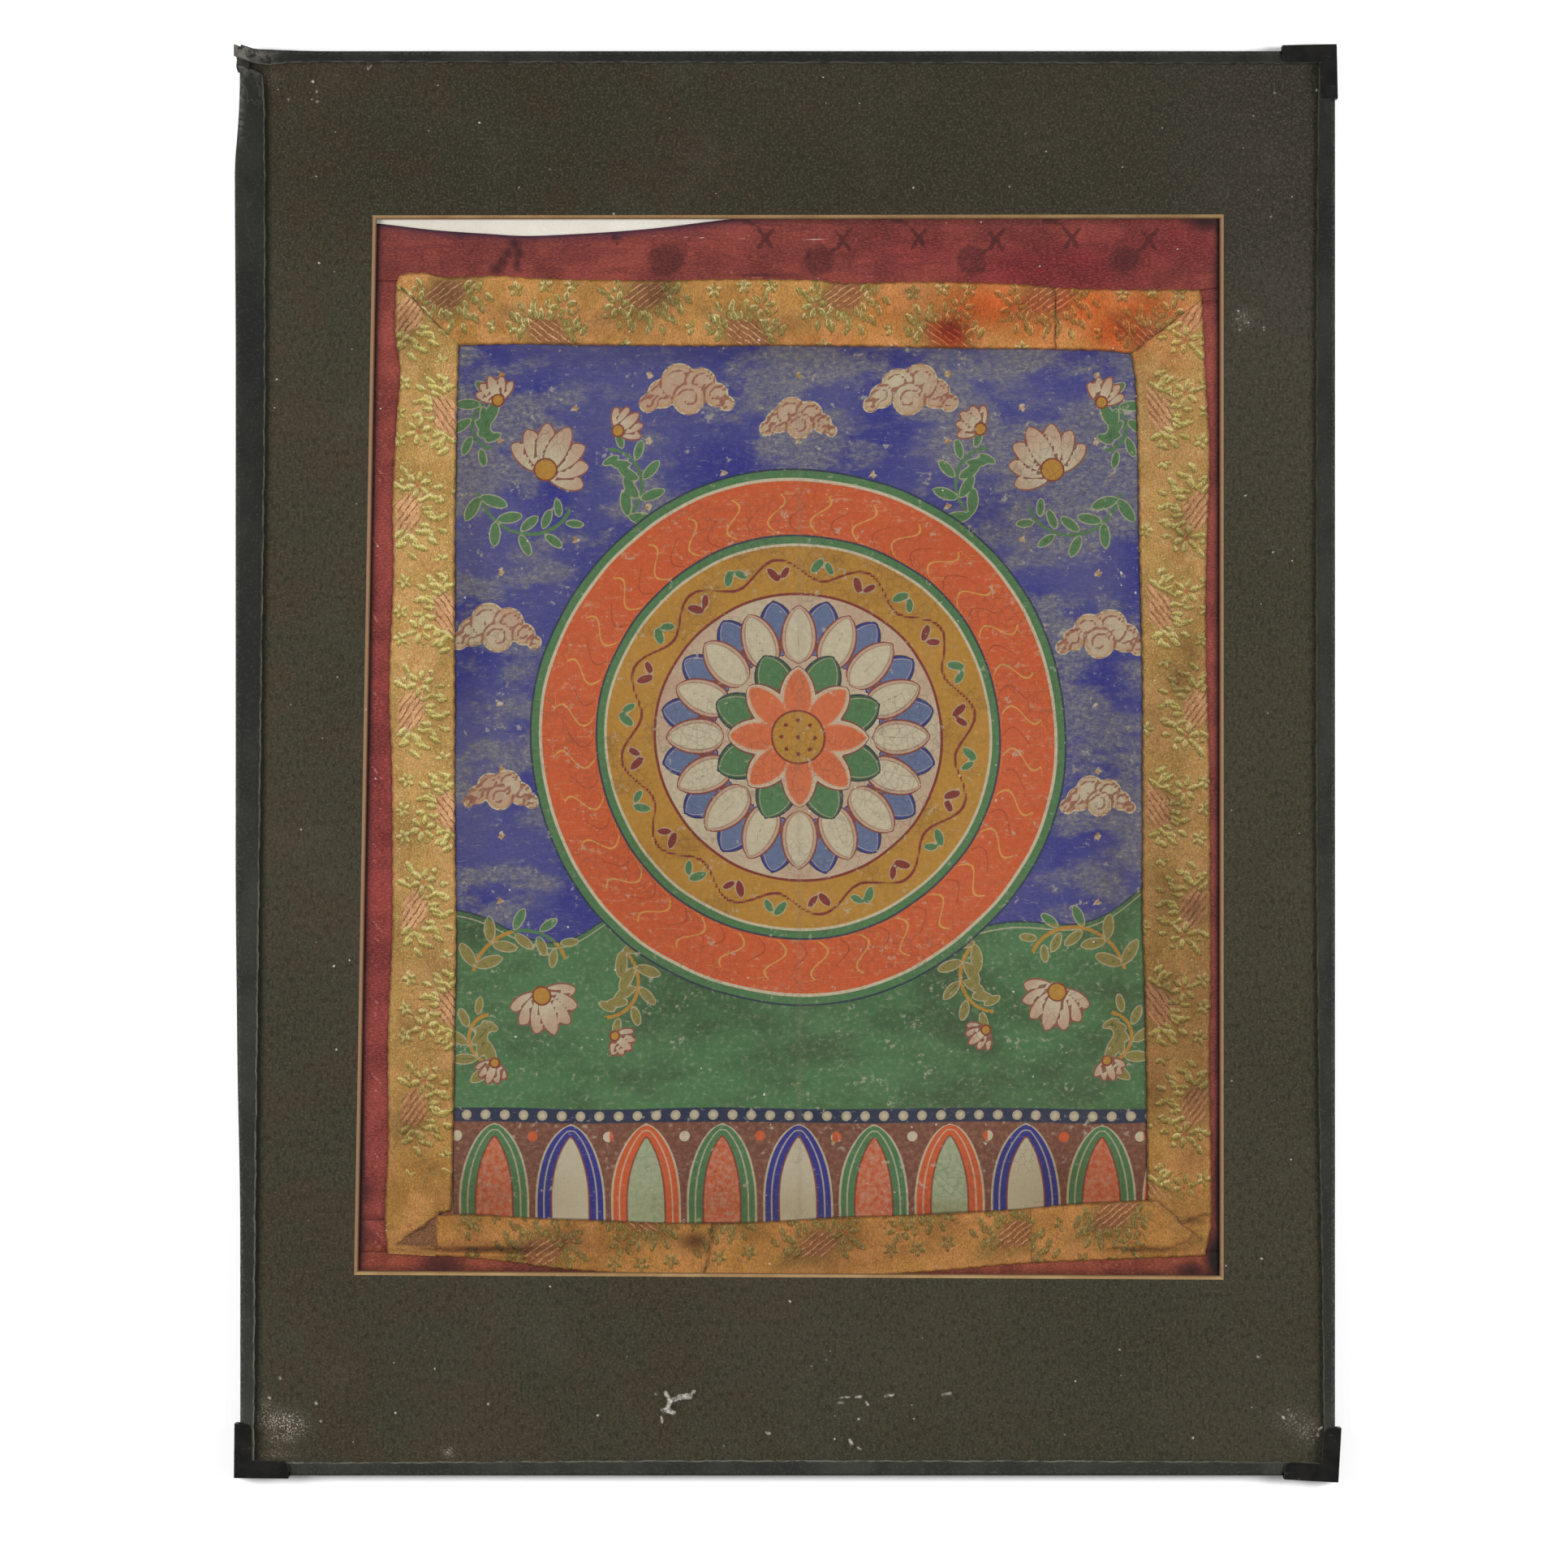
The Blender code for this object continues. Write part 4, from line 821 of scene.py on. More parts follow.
def petal_ring(radius, angle, count, turn, inner, outer, half_width):
    """Signed distance of a ring of pointed petals."""
    local = repeated(angle - turn, 2 * math.pi / count)
    along = (radius * np.cos(local) - inner) / (outer - inner)
    across = np.abs(radius * np.sin(local))
    t = ramp(along)
    width = half_width * t**0.45 * (1 - t) ** 0.6 / PETAL_PEAK
    beyond = np.maximum(np.abs(along - 0.5) - 0.5, 0) * (outer - inner)
    return np.where(beyond > 0, np.hypot(beyond, np.maximum(across - width, 0)), across - width)


def bloom(x, y, cx, cy, size, turn, reach):
    """A lotus seen from the side: signed distance of its fan of petals, and of its heart, and how far out."""
    dx, dy = (x - cx) / size, (y - cy) / size
    radius, angle = np.hypot(dx, dy), np.arctan2(dy, dx) - math.radians(turn)
    angle = repeated(angle, 2 * math.pi)
    petals = np.full_like(x, 9.0)
    for order in sorted(range(-reach, reach + 1), key=abs, reverse=True):
        local = angle - order * math.radians(BLOOM_STEP_DEG)
        along = radius * np.cos(local) / (1 - 0.05 * abs(order))
        t = ramp(along)
        width = BLOOM_PETAL_W * t**0.5 * (1 - t) ** 0.55 / BLOOM_PEAK
        over = np.abs(radius * np.sin(local)) - width
        beyond = np.maximum(np.abs(along - 0.5) - 0.5, 0)
        one = np.where(beyond > 0, np.hypot(beyond, np.maximum(over, 0)), over)
        # A petal in front cuts those behind it, so that its outline shows
        petals = np.where(one < 0.02, np.minimum(one, np.maximum(petals, one)), np.minimum(petals, one))
    return petals * size, (radius - BLOOM_HEART_R) * size, ramp(radius)


def cloud_fields(x, y):
    """Signed distance of the clouds, and of the lobes' outlines and curls."""
    cloud, lines = np.full_like(x, HIDDEN), np.full_like(x, HIDDEN)
    for cx, cy, size, side in CLOUD_PLACES_MM:
        p, q = (x - cx) / size * side, (y - cy) / size
        whole, drawn = np.full_like(x, HIDDEN), np.full_like(x, HIDDEN)
        for lx, ly, radius, turn in CLOUDS_MM:
            r, a = np.hypot(p - lx, q - ly), np.arctan2(q - ly, (p - lx) * turn)
            lobe = r - radius
            # Each lobe lies over those before it: its rim is drawn, and theirs is hidden under it
            drawn = np.minimum(np.where(lobe < 0, HIDDEN, drawn), np.abs(lobe))
            around = (a + math.pi) / (2 * math.pi)
            curl = np.abs(r - radius * (0.22 + 0.5 * around))
            drawn = np.minimum(drawn, np.where((around > 0.04) & (around < 0.96), curl, HIDDEN))
            whole = np.minimum(whole, lobe)
        drawn = np.where(whole < 0.4, drawn, HIDDEN)
        cloud, lines = np.minimum(cloud, whole * size), np.minimum(lines, drawn * size)
    return {"cloud": cloud, "cloud_line": lines}


def spray_fields(x, y):
    """The corner sprays: stems, leaves and their ribs, blooms and hearts."""
    stem, spray, rib, blossom, heart = (np.full_like(x, 50.0) for _ in range(5))
    tone = np.zeros_like(x)
    for cx, cy, side, up, size in SPRAYS_MM:
        p, q = (x - cx) * side, (y - cy) * up
        for mx, my, radius, start, end in CURLS_MM:
            r, a = np.hypot(p - mx, q - my), np.degrees(np.arctan2(q - my, p - mx))
            turned = (a - start) % 360
            curl = radius * (1 - 0.35 * ramp(turned / (end - start)))
            stem = np.minimum(stem, np.where(turned <= end - start, np.abs(r - curl) - 0.85, 50.0))
            for k in range(5):
                share = 0.1 + 0.2 * k
                at = math.radians(blend(start, end, share))
                for way in (-1, 1):
                    out = radius * (1 - 0.35 * share) + way * 5.2
                    lx, ly = mx + out * math.cos(at), my + out * math.sin(at)
                    heading = math.degrees(at) + 90 - way * 52
                    spray = np.minimum(spray, leaf(p, q, lx, ly, heading, 13 - k, 5.6 - 0.4 * k))
                    along, across = turned_place(p, q, lx, ly, heading)
                    rib = np.where(np.abs(along) < 4.8 - 0.4 * k, np.minimum(rib, across), rib)
        # A bloom that faces up or out, a smaller one and a bud
        face = 60 if up > 0 else 72
        blooms = ((0, -4, 0.72, face, 3), (33, 14, 0.4, 40, 2), (-22, 27, 0.4, 110, 2))
        for bx, by, share, heading, reach in blooms:
            petals, middle, near = bloom(p, q, bx, by, size * share, heading, reach)
            tone = np.where(petals < 0, near, tone)
            blossom, heart = np.minimum(blossom, petals), np.minimum(heart, middle)
    return {"stem": stem, "spray": spray, "rib": rib, "blossom": blossom, "heart": heart, "tone": tone}


def medallion_fields(x, y):
    """The medallion: its petals, seeds, vine and rays."""
    radius, angle = np.hypot(x, y), np.arctan2(y, x)
    step = 2 * math.pi / PETALS
    fold = repeated(angle, step)
    seeds = np.hypot(radius * np.sin((angle + 0.39) % 0.785 - 0.39), radius * np.cos(fold * 0.5) - 7.6)

    # The vine runs round the ochre ring, and a leaf sits in each of its bends
    bend = math.pi / VINE_WAVES
    which = np.round(angle / bend - 0.5)
    side = np.where(which % 2 == 0, 1.0, -1.0)
    p, q = VINE_R_MM * (angle - (which + 0.5) * bend), (radius - VINE_R_MM) * side
    made = {
        "radius": radius,
        "petal_back": petal_ring(radius, angle, PETALS, step / 2, 38, 63, 8.6),
        "petal_front": petal_ring(radius, angle, PETALS, 0, 34, 60, 8.2),
        "petal_inner": petal_ring(radius, angle, PETALS // 2, step, 17, 40, 9),
        "petal_core": petal_ring(radius, angle, PETALS // 2, 0, 8, 32, 8.4),
        "vein": np.where((radius > 41) & (radius < 53), np.abs(radius * np.sin(fold)), 5),
        "seeds": np.minimum(seeds, radius) - 1.1,
        "vine": np.abs(radius - VINE_R_MM - 4.6 * np.sin(VINE_WAVES * angle)) * 0.86 - 0.6,
        "vine_leaf": np.minimum(leaf(p, q, 2.2, -2, 55, 8.5, 4.2), leaf(p, q, -3.4, -1.6, 128, 7, 3.6)),
        "turning": side,
    }
    for name, phase, reach in (("rays", 0, 112), ("rays_back", 0.5, 106)):
        rays = (angle * RAYS / (2 * math.pi) + phase) % 1 - 0.5
        rays = (rays - 0.22 * np.sin((radius - RAYS_FOOT_R) / 3.2)) * radius * 2 * math.pi / RAYS
        made[name] = np.where((radius > RAYS_FOOT_R) & (radius < reach), rays, 5)
    return made


def band_fields(x, y):
    """The band at the foot: its arches, the dots between them and the bead row."""
    number = np.round((x - ARCH_MIDDLE_X_MM) / ARCH_PITCH_MM)
    across = np.abs(x - ARCH_MIDDLE_X_MM - number * ARCH_PITCH_MM)
    up = ramp((y - ARCH_FOOT_MM) / ARCH_HEIGHT_MM)
    arch = np.maximum((across - 15.6 * (1 - up**2.2) ** 0.62) * 0.8, ARCH_FOOT_MM - 14 - y)
    bead_x = (x - ARCH_MIDDLE_X_MM) % BEAD_PITCH_MM - BEAD_PITCH_MM / 2
    return {
        "band": y - BAND_TOP_MM,
        "arch": np.maximum(arch, y - ARCH_FOOT_MM - ARCH_HEIGHT_MM),
        "arch_tint": np.abs(number) % 3,
        "dot": np.hypot(across - ARCH_PITCH_MM / 2, y + 170) - 2.4,
        "bead_row": np.abs(y - BEAD_Y_MM) - 3.2,
        "bead": np.hypot(bead_x, y - BEAD_Y_MM) - BEAD_R_MM,
    }


def painting_fields(x, y):
    """Signed distances, in millimetres and negative inside, of all that is painted, and the wear."""
    wx = x + 0.4 * np.sin(y / 17.3) + 0.12 * np.sin(x / 4.1 + y / 11)
    wy = y + 0.4 * np.sin(x / 18.1) + 0.12 * np.sin(y / 3.7 - x / 13)
    dx, dy = wx - MEDALLION_MM[0], wy - MEDALLION_MM[1]
    odd = np.round(dx / STAR_PITCH_X_MM) % 2
    star_x = repeated(dx, STAR_PITCH_X_MM)
    star_y = (dy + STAR_PITCH_Y_MM / 2 * odd) % STAR_PITCH_Y_MM - STAR_PITCH_Y_MM / 2
    long_creases = fold_height(x, y, [(*fold[:4], 1, 1.1) for fold in PAINTING_FOLDS_MM[:2]])
    soft_creases = fold_height(x, y, [(*fold[:4], 1, 1) for fold in PAINTING_FOLDS_MM[2:]])
    return {
        **medallion_fields(dx, dy),
        **band_fields(wx, wy),
        **cloud_fields(wx, wy),
        **spray_fields(wx, wy),
        "hill": wy + 62 - 16 * np.cos((wx + 12) / 34) - 5 * np.sin(wx / 13),
        "star": np.hypot(star_x, star_y) - 1.5 - 0.8 * np.cos(np.arctan2(star_y, star_x) * 5),
        "crease": np.maximum(long_creases, 0.4 * soft_creases),
        "stain": spots(x, y, PAINTING_STAINS_MM),
    }


def painting_place(u, v):
    """x and y of the painting's points, whose edges lie under the brocade, and how far they lie from it."""
    level = -200 + 390 * v
    left = smooth_table(BROCADE_LEFT_INNER_Y_X_MM, level) - PAINTING_TUCK_MM
    right = smooth_table(BROCADE_RIGHT_INNER_Y_X_MM, level) + PAINTING_TUCK_MM
    x = blend(left, right, u)
    top = smooth_table(BROCADE_TOP_INNER_X_Y_MM, x) + PAINTING_TUCK_MM
    bottom = smooth_table(BROCADE_BOTTOM_INNER_X_Y_MM, x) - PAINTING_TUCK_MM
    y = blend(bottom, top, v)
    return x, y, np.minimum.reduce((x - left, right - x, y - bottom, top - y)) - PAINTING_TUCK_MM


def build_painting():
    def place(u, v):
        x, y, rim = painting_place(u, v)
        wave = 0.2 * uneven(0.35 * x + 0.2 * y, 0.7) + 0.15 * uneven(0.3 * y - 0.1 * x, 2.9)
        pucker = 0.35 * np.exp(-(((rim - 6) / 6) ** 2)) * uneven(x + 1.3 * y, 1.9)
        lift = wave + pucker + fold_height(x, y, PAINTING_FOLDS_MM) + 0.07 * (1 + crumple(x, y, 11, 5))
        return x, y, SILK_TOP + ramp(rim / 9) * lift

    def fields(u, v):
        x, y, rim = painting_place(u, v)
        return {**painting_fields(x, y), "rim": rim + 0.25 * np.sin((x + y) / 9)}

    piece = sheet_grid("painting", 258, 326, place, fields)
    finish_piece(piece, painted_cotton_material(), ("painted_cotton",))


# Brocade

REPEAT_MM = 90.5  # the pattern's repeat; every half of it the motif turns over
MOTIF_OUT_MM, MOTIF_IN_MM = 22.8, 6.4  # the patch's middle, from the strip's inner edge
LEAF_ARCS = {  # round each patch: the arc's reach along and across, its first and last angle, and its leaves
    "outer": ((12.6, 9.6, 150, 392, 19), (17.6, 15, 170, 370, 17)),
    "inner": ((11.6, 8, -20, 200, 16), (16, 12.4, -2, 182, 15)),
}
BLOSSOM_MM = {"outer": (-12.6, -4.4), "inner": (8.4, 11.6)}  # six petals round a red heart
SPRIGS_MM = {"outer": ((22, -14.8), (-9, -23)), "inner": ((-13.6, 18.6), (12.2, 20.6), (0, 20.6))}
# Stains, and painted shade along some folds: x, y, half the size along X and Y, and strength
BROCADE_STAINS_AND_FOLD_SHADE_MM = (
    (60, 213, 11, 6, 0.35), (-134, 206, 12, 5, 0.3), (180, 108, 7, 10, 0.4), (176, -20, 6, 9, 0.45),
    (186, -66, 6, 8, 0.5), (172, -104, 6, 9, 0.5), (186, -150, 6, 9, 0.5), (-174, -118, 6, 8, 0.35),
    (-172, -30, 5, 7, 0.25), (70, -214, 10, 5, 0.35), (170, 19, 9, 12, 0.3), (-60, -214, 12, 4, 0.3),
    (-155, 213, 9, 9, 0.6), (-57, 213, 12, 8.5, 0.72), (-67, 205, 9, 9, 0.35), (178.3, 38.6, 8, 9, 0.7),
    (184, 50, 6, 14, 0.5), (75.2, 198.2, 8, 6, 0.5), (-42, -217.6, 7, 5, 1.05), (-136, -221.2, 32, 1.9, 1.1),
    (184, -208.4, 6, 2.4, 0.75), (-174, 196, 7, 12, 0.55), (-90, -220.5, 20, 3, 0.35),
    (-140, -219.2, 36, 2.6, 0.4), (184, -219, 7, 3, 0.4), (165, -221.6, 20, 1.8, 0.7),
    (-178, -40, 6, 14, 0.25), (60, -221, 18, 5, 0.3), (150, -212, 22, 8, 0.3), (10, -226, 26, 5, 0.35),
    (188, -120, 8, 40, 0.3), (-158, 30, 5, 22, 0.25), (-86, 201, 14, 7, 0.35), (-3, 200, 14, 7, 0.35),
    (172, -60, 8, 16, 0.4), (168, -150, 7, 14, 0.45), (184, -180, 8, 10, 0.4), (-174, -165, 9, 10, 0.35),
    (-98, -217, 12, 6, 0.4), (24, -218, 13, 6, 0.35), (-160, -90, 8, 9, 0.2),
)
BLUSH_MM = (
    (75, 197, 11, 9, 1.6), (92, 208, 26, 12, 1.1), (112, 204, 20, 14, 0.8), (136, 208, 20, 12, 1.1),
    (150, 198, 18, 12, 1.3), (160, 207, 20, 9, 1), (46, 206, 16, 14, 0.4), (20, 193, 26, 3, 0.3),
    (176, 192, 10, 16, 0.3),
)
# Tucks and seams: lines of x and y
TUCKS_MM = (
    ((-174.8, -216), (-170, -214.2), (-164.6, -210.8), (-161.3, -206.7), (-160.2, -204.9), (-154.3, -204.4)),
    ((-166, -220.6), (-159.1, -221.6), (-136.9, -222.1), (-118, -222.6)),
    ((164.6, -199.3), (169.8, -199.5), (173.5, -203.8), (178.7, -209), (184.6, -213.4), (188.3, -217.8)),
    ((178.7, -209), (181.6, -209.3), (186.4, -207), (192, -205.3)),
    ((146, -220.9), (158.7, -221.5), (174.2, -221.1), (181.6, -217.8), (184.6, -214.1)),
    ((-34.2, -210.4), (-35.4, -222.2), (-37.5, -233)), ((121.6, 217), (122.4, 203), (121.6, 189)),
    ((-175.9, 217.2), (-166, 206.6), (-157, 196.4)),
    ((158.6, 188.6), (163.6, 192.6), (169.8, 197.1), (180.5, 205.6)),
)
BROCADE_LOW_MM = BROCADE_TOP - SILK_TOP  # how far a strip's rim turns down onto what lies under it
HATCH_SLANT = math.radians(36)
GLEAM_MM = 0.42  # how far a leaf's painted highlight and painted shadow stand off it
BROCADE_SIDES = {  # outer and inner edge, whether it is upright, and the way to the panel's top along and out
    "top": (BROCADE_TOP_OUTER_X_Y_MM, BROCADE_TOP_INNER_X_Y_MM, False, (0, 1)),
    "left": (BROCADE_LEFT_OUTER_Y_X_MM, BROCADE_LEFT_INNER_Y_X_MM, True, (-1, 0)),
    "right": (BROCADE_RIGHT_OUTER_Y_X_MM, BROCADE_RIGHT_INNER_Y_X_MM, True, (1, 0)),
    "bottom": (BROCADE_BOTTOM_OUTER_X_Y_MM, BROCADE_BOTTOM_INNER_X_Y_MM, False, (0, -1)),
}


def arc_leaves(arcs):
    """Leaves that fan out round a patch, as places along and across, angles and lengths."""
    leaves = []
    for arc, (reach_p, reach_q, first, last, count) in enumerate(arcs):
        for i in range(count):
            turn = math.radians(blend(first, last, (i + 0.35 * math.sin(2.4 * i + arc)) / (count - 1)))
            far = 1 + 0.13 * math.sin(3.7 * i + 1.3 + arc)
            angle = 90 + 0.5 * (math.degrees(turn) % 180 - 90) + 18 * math.sin(5.1 * i + 2 * arc)
            length = 4.9 + 0.8 * math.sin(4.3 * i + arc)
            leaves.append((reach_p * far * math.cos(turn), reach_q * far * math.sin(turn), angle, length))
    return leaves


def leaf_cluster(p, q, kind):
    """Signed distance of one motif's leaves and flowers."""
    nearest = np.full_like(p, 9.0)
    for lp, lq, angle, length in arc_leaves(LEAF_ARCS[kind]):
        nearest = np.minimum(nearest, leaf(p, q, lp, lq, angle, length, length * 0.46))
    blossom_p, blossom_q = BLOSSOM_MM[kind]
    nearest = np.maximum(nearest, 6.4 - np.hypot(p - blossom_p, q - blossom_q))
    flowers = [(blossom_p, blossom_q, 6, 4, 4.6, 2.4)]
    flowers += [(*sprig, 5, 2.1, 3, 1.7) for sprig in SPRIGS_MM[kind]]
    for fp, fq, count, reach, length, width in flowers:
        r, a = np.hypot(p - fp, q - fq), np.arctan2(q - fq, p - fp)
        folded = (a + 0.3) % (2 * math.pi / count) - math.pi / count
        petal = leaf(r * np.cos(folded), r * np.sin(folded), reach, 0, 0, length, width)
        nearest = np.minimum(nearest, petal)
    return nearest


def motif_place(along, out, shift):
    """Which of the two motifs a place has, and where it lies from that motif's patch."""
    half = REPEAT_MM / 2
    cell = np.round(along / half)
    odd = cell % 2 == 1
    return odd, along - cell * half, out + shift - np.where(odd, MOTIF_IN_MM, MOTIF_OUT_MM)


def woven_leaves(odd, p, q):
    return np.where(odd, leaf_cluster(p, q, "inner"), leaf_cluster(p, q, "outer"))


def blossom_heart(odd, p, q):
    outer, inner = (np.hypot(p - bp, q - bq) for bp, bq in BLOSSOM_MM.values())
    return np.where(odd, inner, outer) - 1.1


def hatched_patch(odd, p, q):
    """Signed distance of a slanting patch, and the place across its lines."""
    q = np.where(odd, -q, q)
    patch = np.maximum(np.abs(q) - 5.8, np.abs(p - 0.7 * q) - 8.4)
    return patch, q * math.cos(HATCH_SLANT) - p * math.sin(HATCH_SLANT)


def tuck_distance(x, y):
    """Distance to the nearest of the small tucks and seams, where painted shade makes dark lines."""
    x = x + 0.35 * np.sin(y / 1.7) + 0.25 * np.sin(y / 0.9 + 1)
    y = y + 0.35 * np.sin(x / 1.9) + 0.2 * np.sin(x / 0.8 + 2)
    nearest = np.full_like(x, 9.0)
    for line in TUCKS_MM:
        for start, end in zip(line, line[1:]):
            nearest = np.minimum(nearest, segment_distance(x, y, *start, *end))
    return nearest


def corner_patch(x, y):
    """Signed distance of the brown triangle that shows where the lower left corner is folded in."""
    above, below = y + 216.2 - (x + 175.4) * 0.7, -(y + 220.9 + 0.06 * (x + 160))
    return np.maximum.reduce((above * 0.82, x + 159.7, below))


def brocade_fields(x, y, along, out, width, cell, lightness, up):
    """The pattern, from its cell and the places along and out on the strip, and the wear, stains and painted
    shade, from x and y.
    """
    odd, p, q = cell
    patch, hatch = hatched_patch(odd, p, q)
    toward_p, toward_q = (GLEAM_MM * way for way in up)  # the light comes from the panel's top
    faded_left = ramp((-184 - y) / 5) * ramp((-146 - x) / 6)
    faded_right = 0.8 * ramp((-194 - y) / 5) * ramp((x - 162) / 6)
    side_dim = np.where(x > 150, 0.3 + 0.45 * ramp((60 - y) / 140), 0.22 * ramp(-y / 100))
    dim = np.maximum(0.3 * ramp((-198 - y) / 12), side_dim) * np.where(y > 186, 0.6, 1)
    return {
        "leaf": woven_leaves(odd, p, q),
        "leaf_lit": woven_leaves(odd, p - toward_p, q - toward_q),
        "leaf_dark": woven_leaves(odd, p + toward_p, q + toward_q),
        "heart_spot": blossom_heart(odd, p, q),
        "patch": patch,
        "hatch": hatch,
        "faded": np.where(x < 0, faded_left, faded_right),
        "lightness": lightness * np.clip(0.35 + 0.65 * (y + 185) / 65, 0.35, 1),
        "dim": dim * np.where(x > 150, np.clip(0.45 + (170 + y) / 55, 0.3, 1), 1),
        "corner_patch": corner_patch(x, y),
        "across_thread": along,
        "rim": np.minimum(out, width - out),
        "stain": spots(x, y, BROCADE_STAINS_AND_FOLD_SHADE_MM),
        "blush": spots(x, y, BLUSH_MM),
        "tuck": tuck_distance(x, y),
    }


def brocade_strip(name, side, outer_ends, inner_ends, sense, offset, cells, phase, lightness, shift, material):
    """One brocade length. sense and offset place the pattern along it: sense 1 runs with x or y.

    shift moves the pattern outwards on it, from one amount at 200 mm down the panel to another at 200 mm up.
    """
    outer, inner, upright, up = BROCADE_SIDES[side]

    def strip(u, v):
        along_out, along_in = blend(*outer_ends, u), blend(*inner_ends, u)
        out, inn = smooth_table(outer, along_out), smooth_table(inner, along_in)
        along, away = blend(along_in, along_out, v), blend(inn, out, v)
        x, y = (away, along) if upright else (along, away)
        width = np.abs(out - inn)
        moved = blend(*shift, ramp((y + 200) / 400))
        return x, y, along, width, motif_place(sense * along + offset, v * width, moved)

    def fields(u, v):
        x, y, along, width, cell = strip(u, v)
        return brocade_fields(x, y, sense * along + offset, v * width, width, cell, lightness, up)

    def place(u, v):
        x, y, along, width, cell = strip(u, v)
        edge = np.exp(-((v / 0.22) ** 2)) + np.exp(-(((1 - v) / 0.22) ** 2))
        lift = 0.35 * edge * uneven(along, phase) + fold_height(x, y, BROCADE_FOLDS_MM)
        ripple = 0.1 * (1 + crumple(x, y, 4.5, 7)) + 0.06 * (1 + crumple(x, y, 2.2, 8))
        patch, hatch = hatched_patch(*cell)
        raised = 0.18 * ramp(0.5 - woven_leaves(*cell) / 0.8)
        cords = 0.12 * ramp(-patch) * (0.5 + 0.5 * np.cos(hatch * 2.5))
        groove = 0.45 * np.exp(-((tuck_distance(x, y) / 0.5) ** 2))
        lift = (lift + ripple + raised + cords) * inside_window(x, y, 7) - groove
        # Where the bottom length butts on the left one the two are pressed flat
        butted = upright & (x < -155) & (y < -204) & (v < 0.5)
        turned = rolled_edge(v, 1.6 / cells[1], BROCADE_LOW_MM) * np.where(butted, 0.1, 1)
        # At the corners the lengths across slide a little under the upright ones, least at the lower right
        corner = (np.abs(y) > 180) & (np.abs(x) > 145)
        ends = rolled_edge(u, 0.7 / cells[0], 0.22) * np.where(corner, 0.1 if upright else 1.5, 1)
        ends = ends * np.where(corner & (x > 0) & (y < 0), 0.4, 1)
        # The sewn edges run in and out a little with each stitch
        wander = 0.16 * np.sin(along / 1.15 + phase) * ramp(1 - np.minimum(v, 1 - v) * 8)
        wander = wander * np.where(v > 0.5, 1, -1)
        height = BROCADE_TOP + lift - np.maximum(turned, ends)
        return (x + wander, y, height) if upright else (x, y + wander, height)

    piece = sheet_grid(name + "_cloth", *cells, place, fields)
    finish_piece(piece, material, (name,))


def build_brocade():
    half = SEAM_GAP_MM / 2 - 0.12  # the seams draw nearly shut
    seam = TOP_SEAM_X_MM
    first, second = BOTTOM_SEAMS_X_MM
    material = brocade_material()
    # Each row ends with its steps, its unevenness's phase, its painted sheen's lightness and its pattern's
    # shift outwards
    for name, side, outer_ends, inner_ends, *pattern in (
        ("top_long", "top", (-178.4, seam - half), (-150.3, seam - half), 1, 65.2, (700, 64), 0.4, 0, (0, 0)),
        ("top_short", "top", (seam + half, 188.9), (seam + half, 156.8), 1, 60, (150, 64), 1.3, 0.15, (0, 0)),
        ("left", "left", (-223.4, 218.6), (-224.6, 190.4), -1, 114.4, (1000, 64), 2.2, 1, (5.5, 0.5)),
        ("right", "right", (211.2, -224.3), (186.6, -198.8), 1, -24.6, (990, 64), 3.1, 0.85, (1.5, -4.5)),
        (
            "bottom_left", "bottom", (first - half, -160.1), (first + 3 - half, -160.1),
            -1, -112, (270, 58), 4, 0.1, (7.8, 7.8),
        ),
        (
            "bottom_middle", "bottom", (second - half, first + half), (second - half, first + 3 + half),
            -1, 14, (340, 60), 4.9, 0.2, (11.5, 11.5),
        ),
        (
            "bottom_right", "bottom", (190.55, second + half), (164.4, second + half),
            1, -102.8, (180, 60), 5.8, 0.2, (0, 0),
        ),
    ):
        brocade_strip("brocade_" + name, side, outer_ends, inner_ends, *pattern, material)


# Silk

DAMASK_PITCH_MM, DAMASK_X_MM, DAMASK_Y_MM = 34.9, 25, 239.2
BLOT_PITCH_MM, BLOT_X_MM, BLOT_Y_MM = 69.8, 14.2, 229.2
TICK_X_MM, TICK_Y_MM = -20.5, 247.6
DAMASK_ARMS = ((49, 7.2, 1.8), (240, 5.6, 2.3), (131, 5.8, 1.5), (304, 6.8, 1.9))  # angle, length, width
SIDE_DAMASK_X_Y_MM = (-187.3, 133.6)
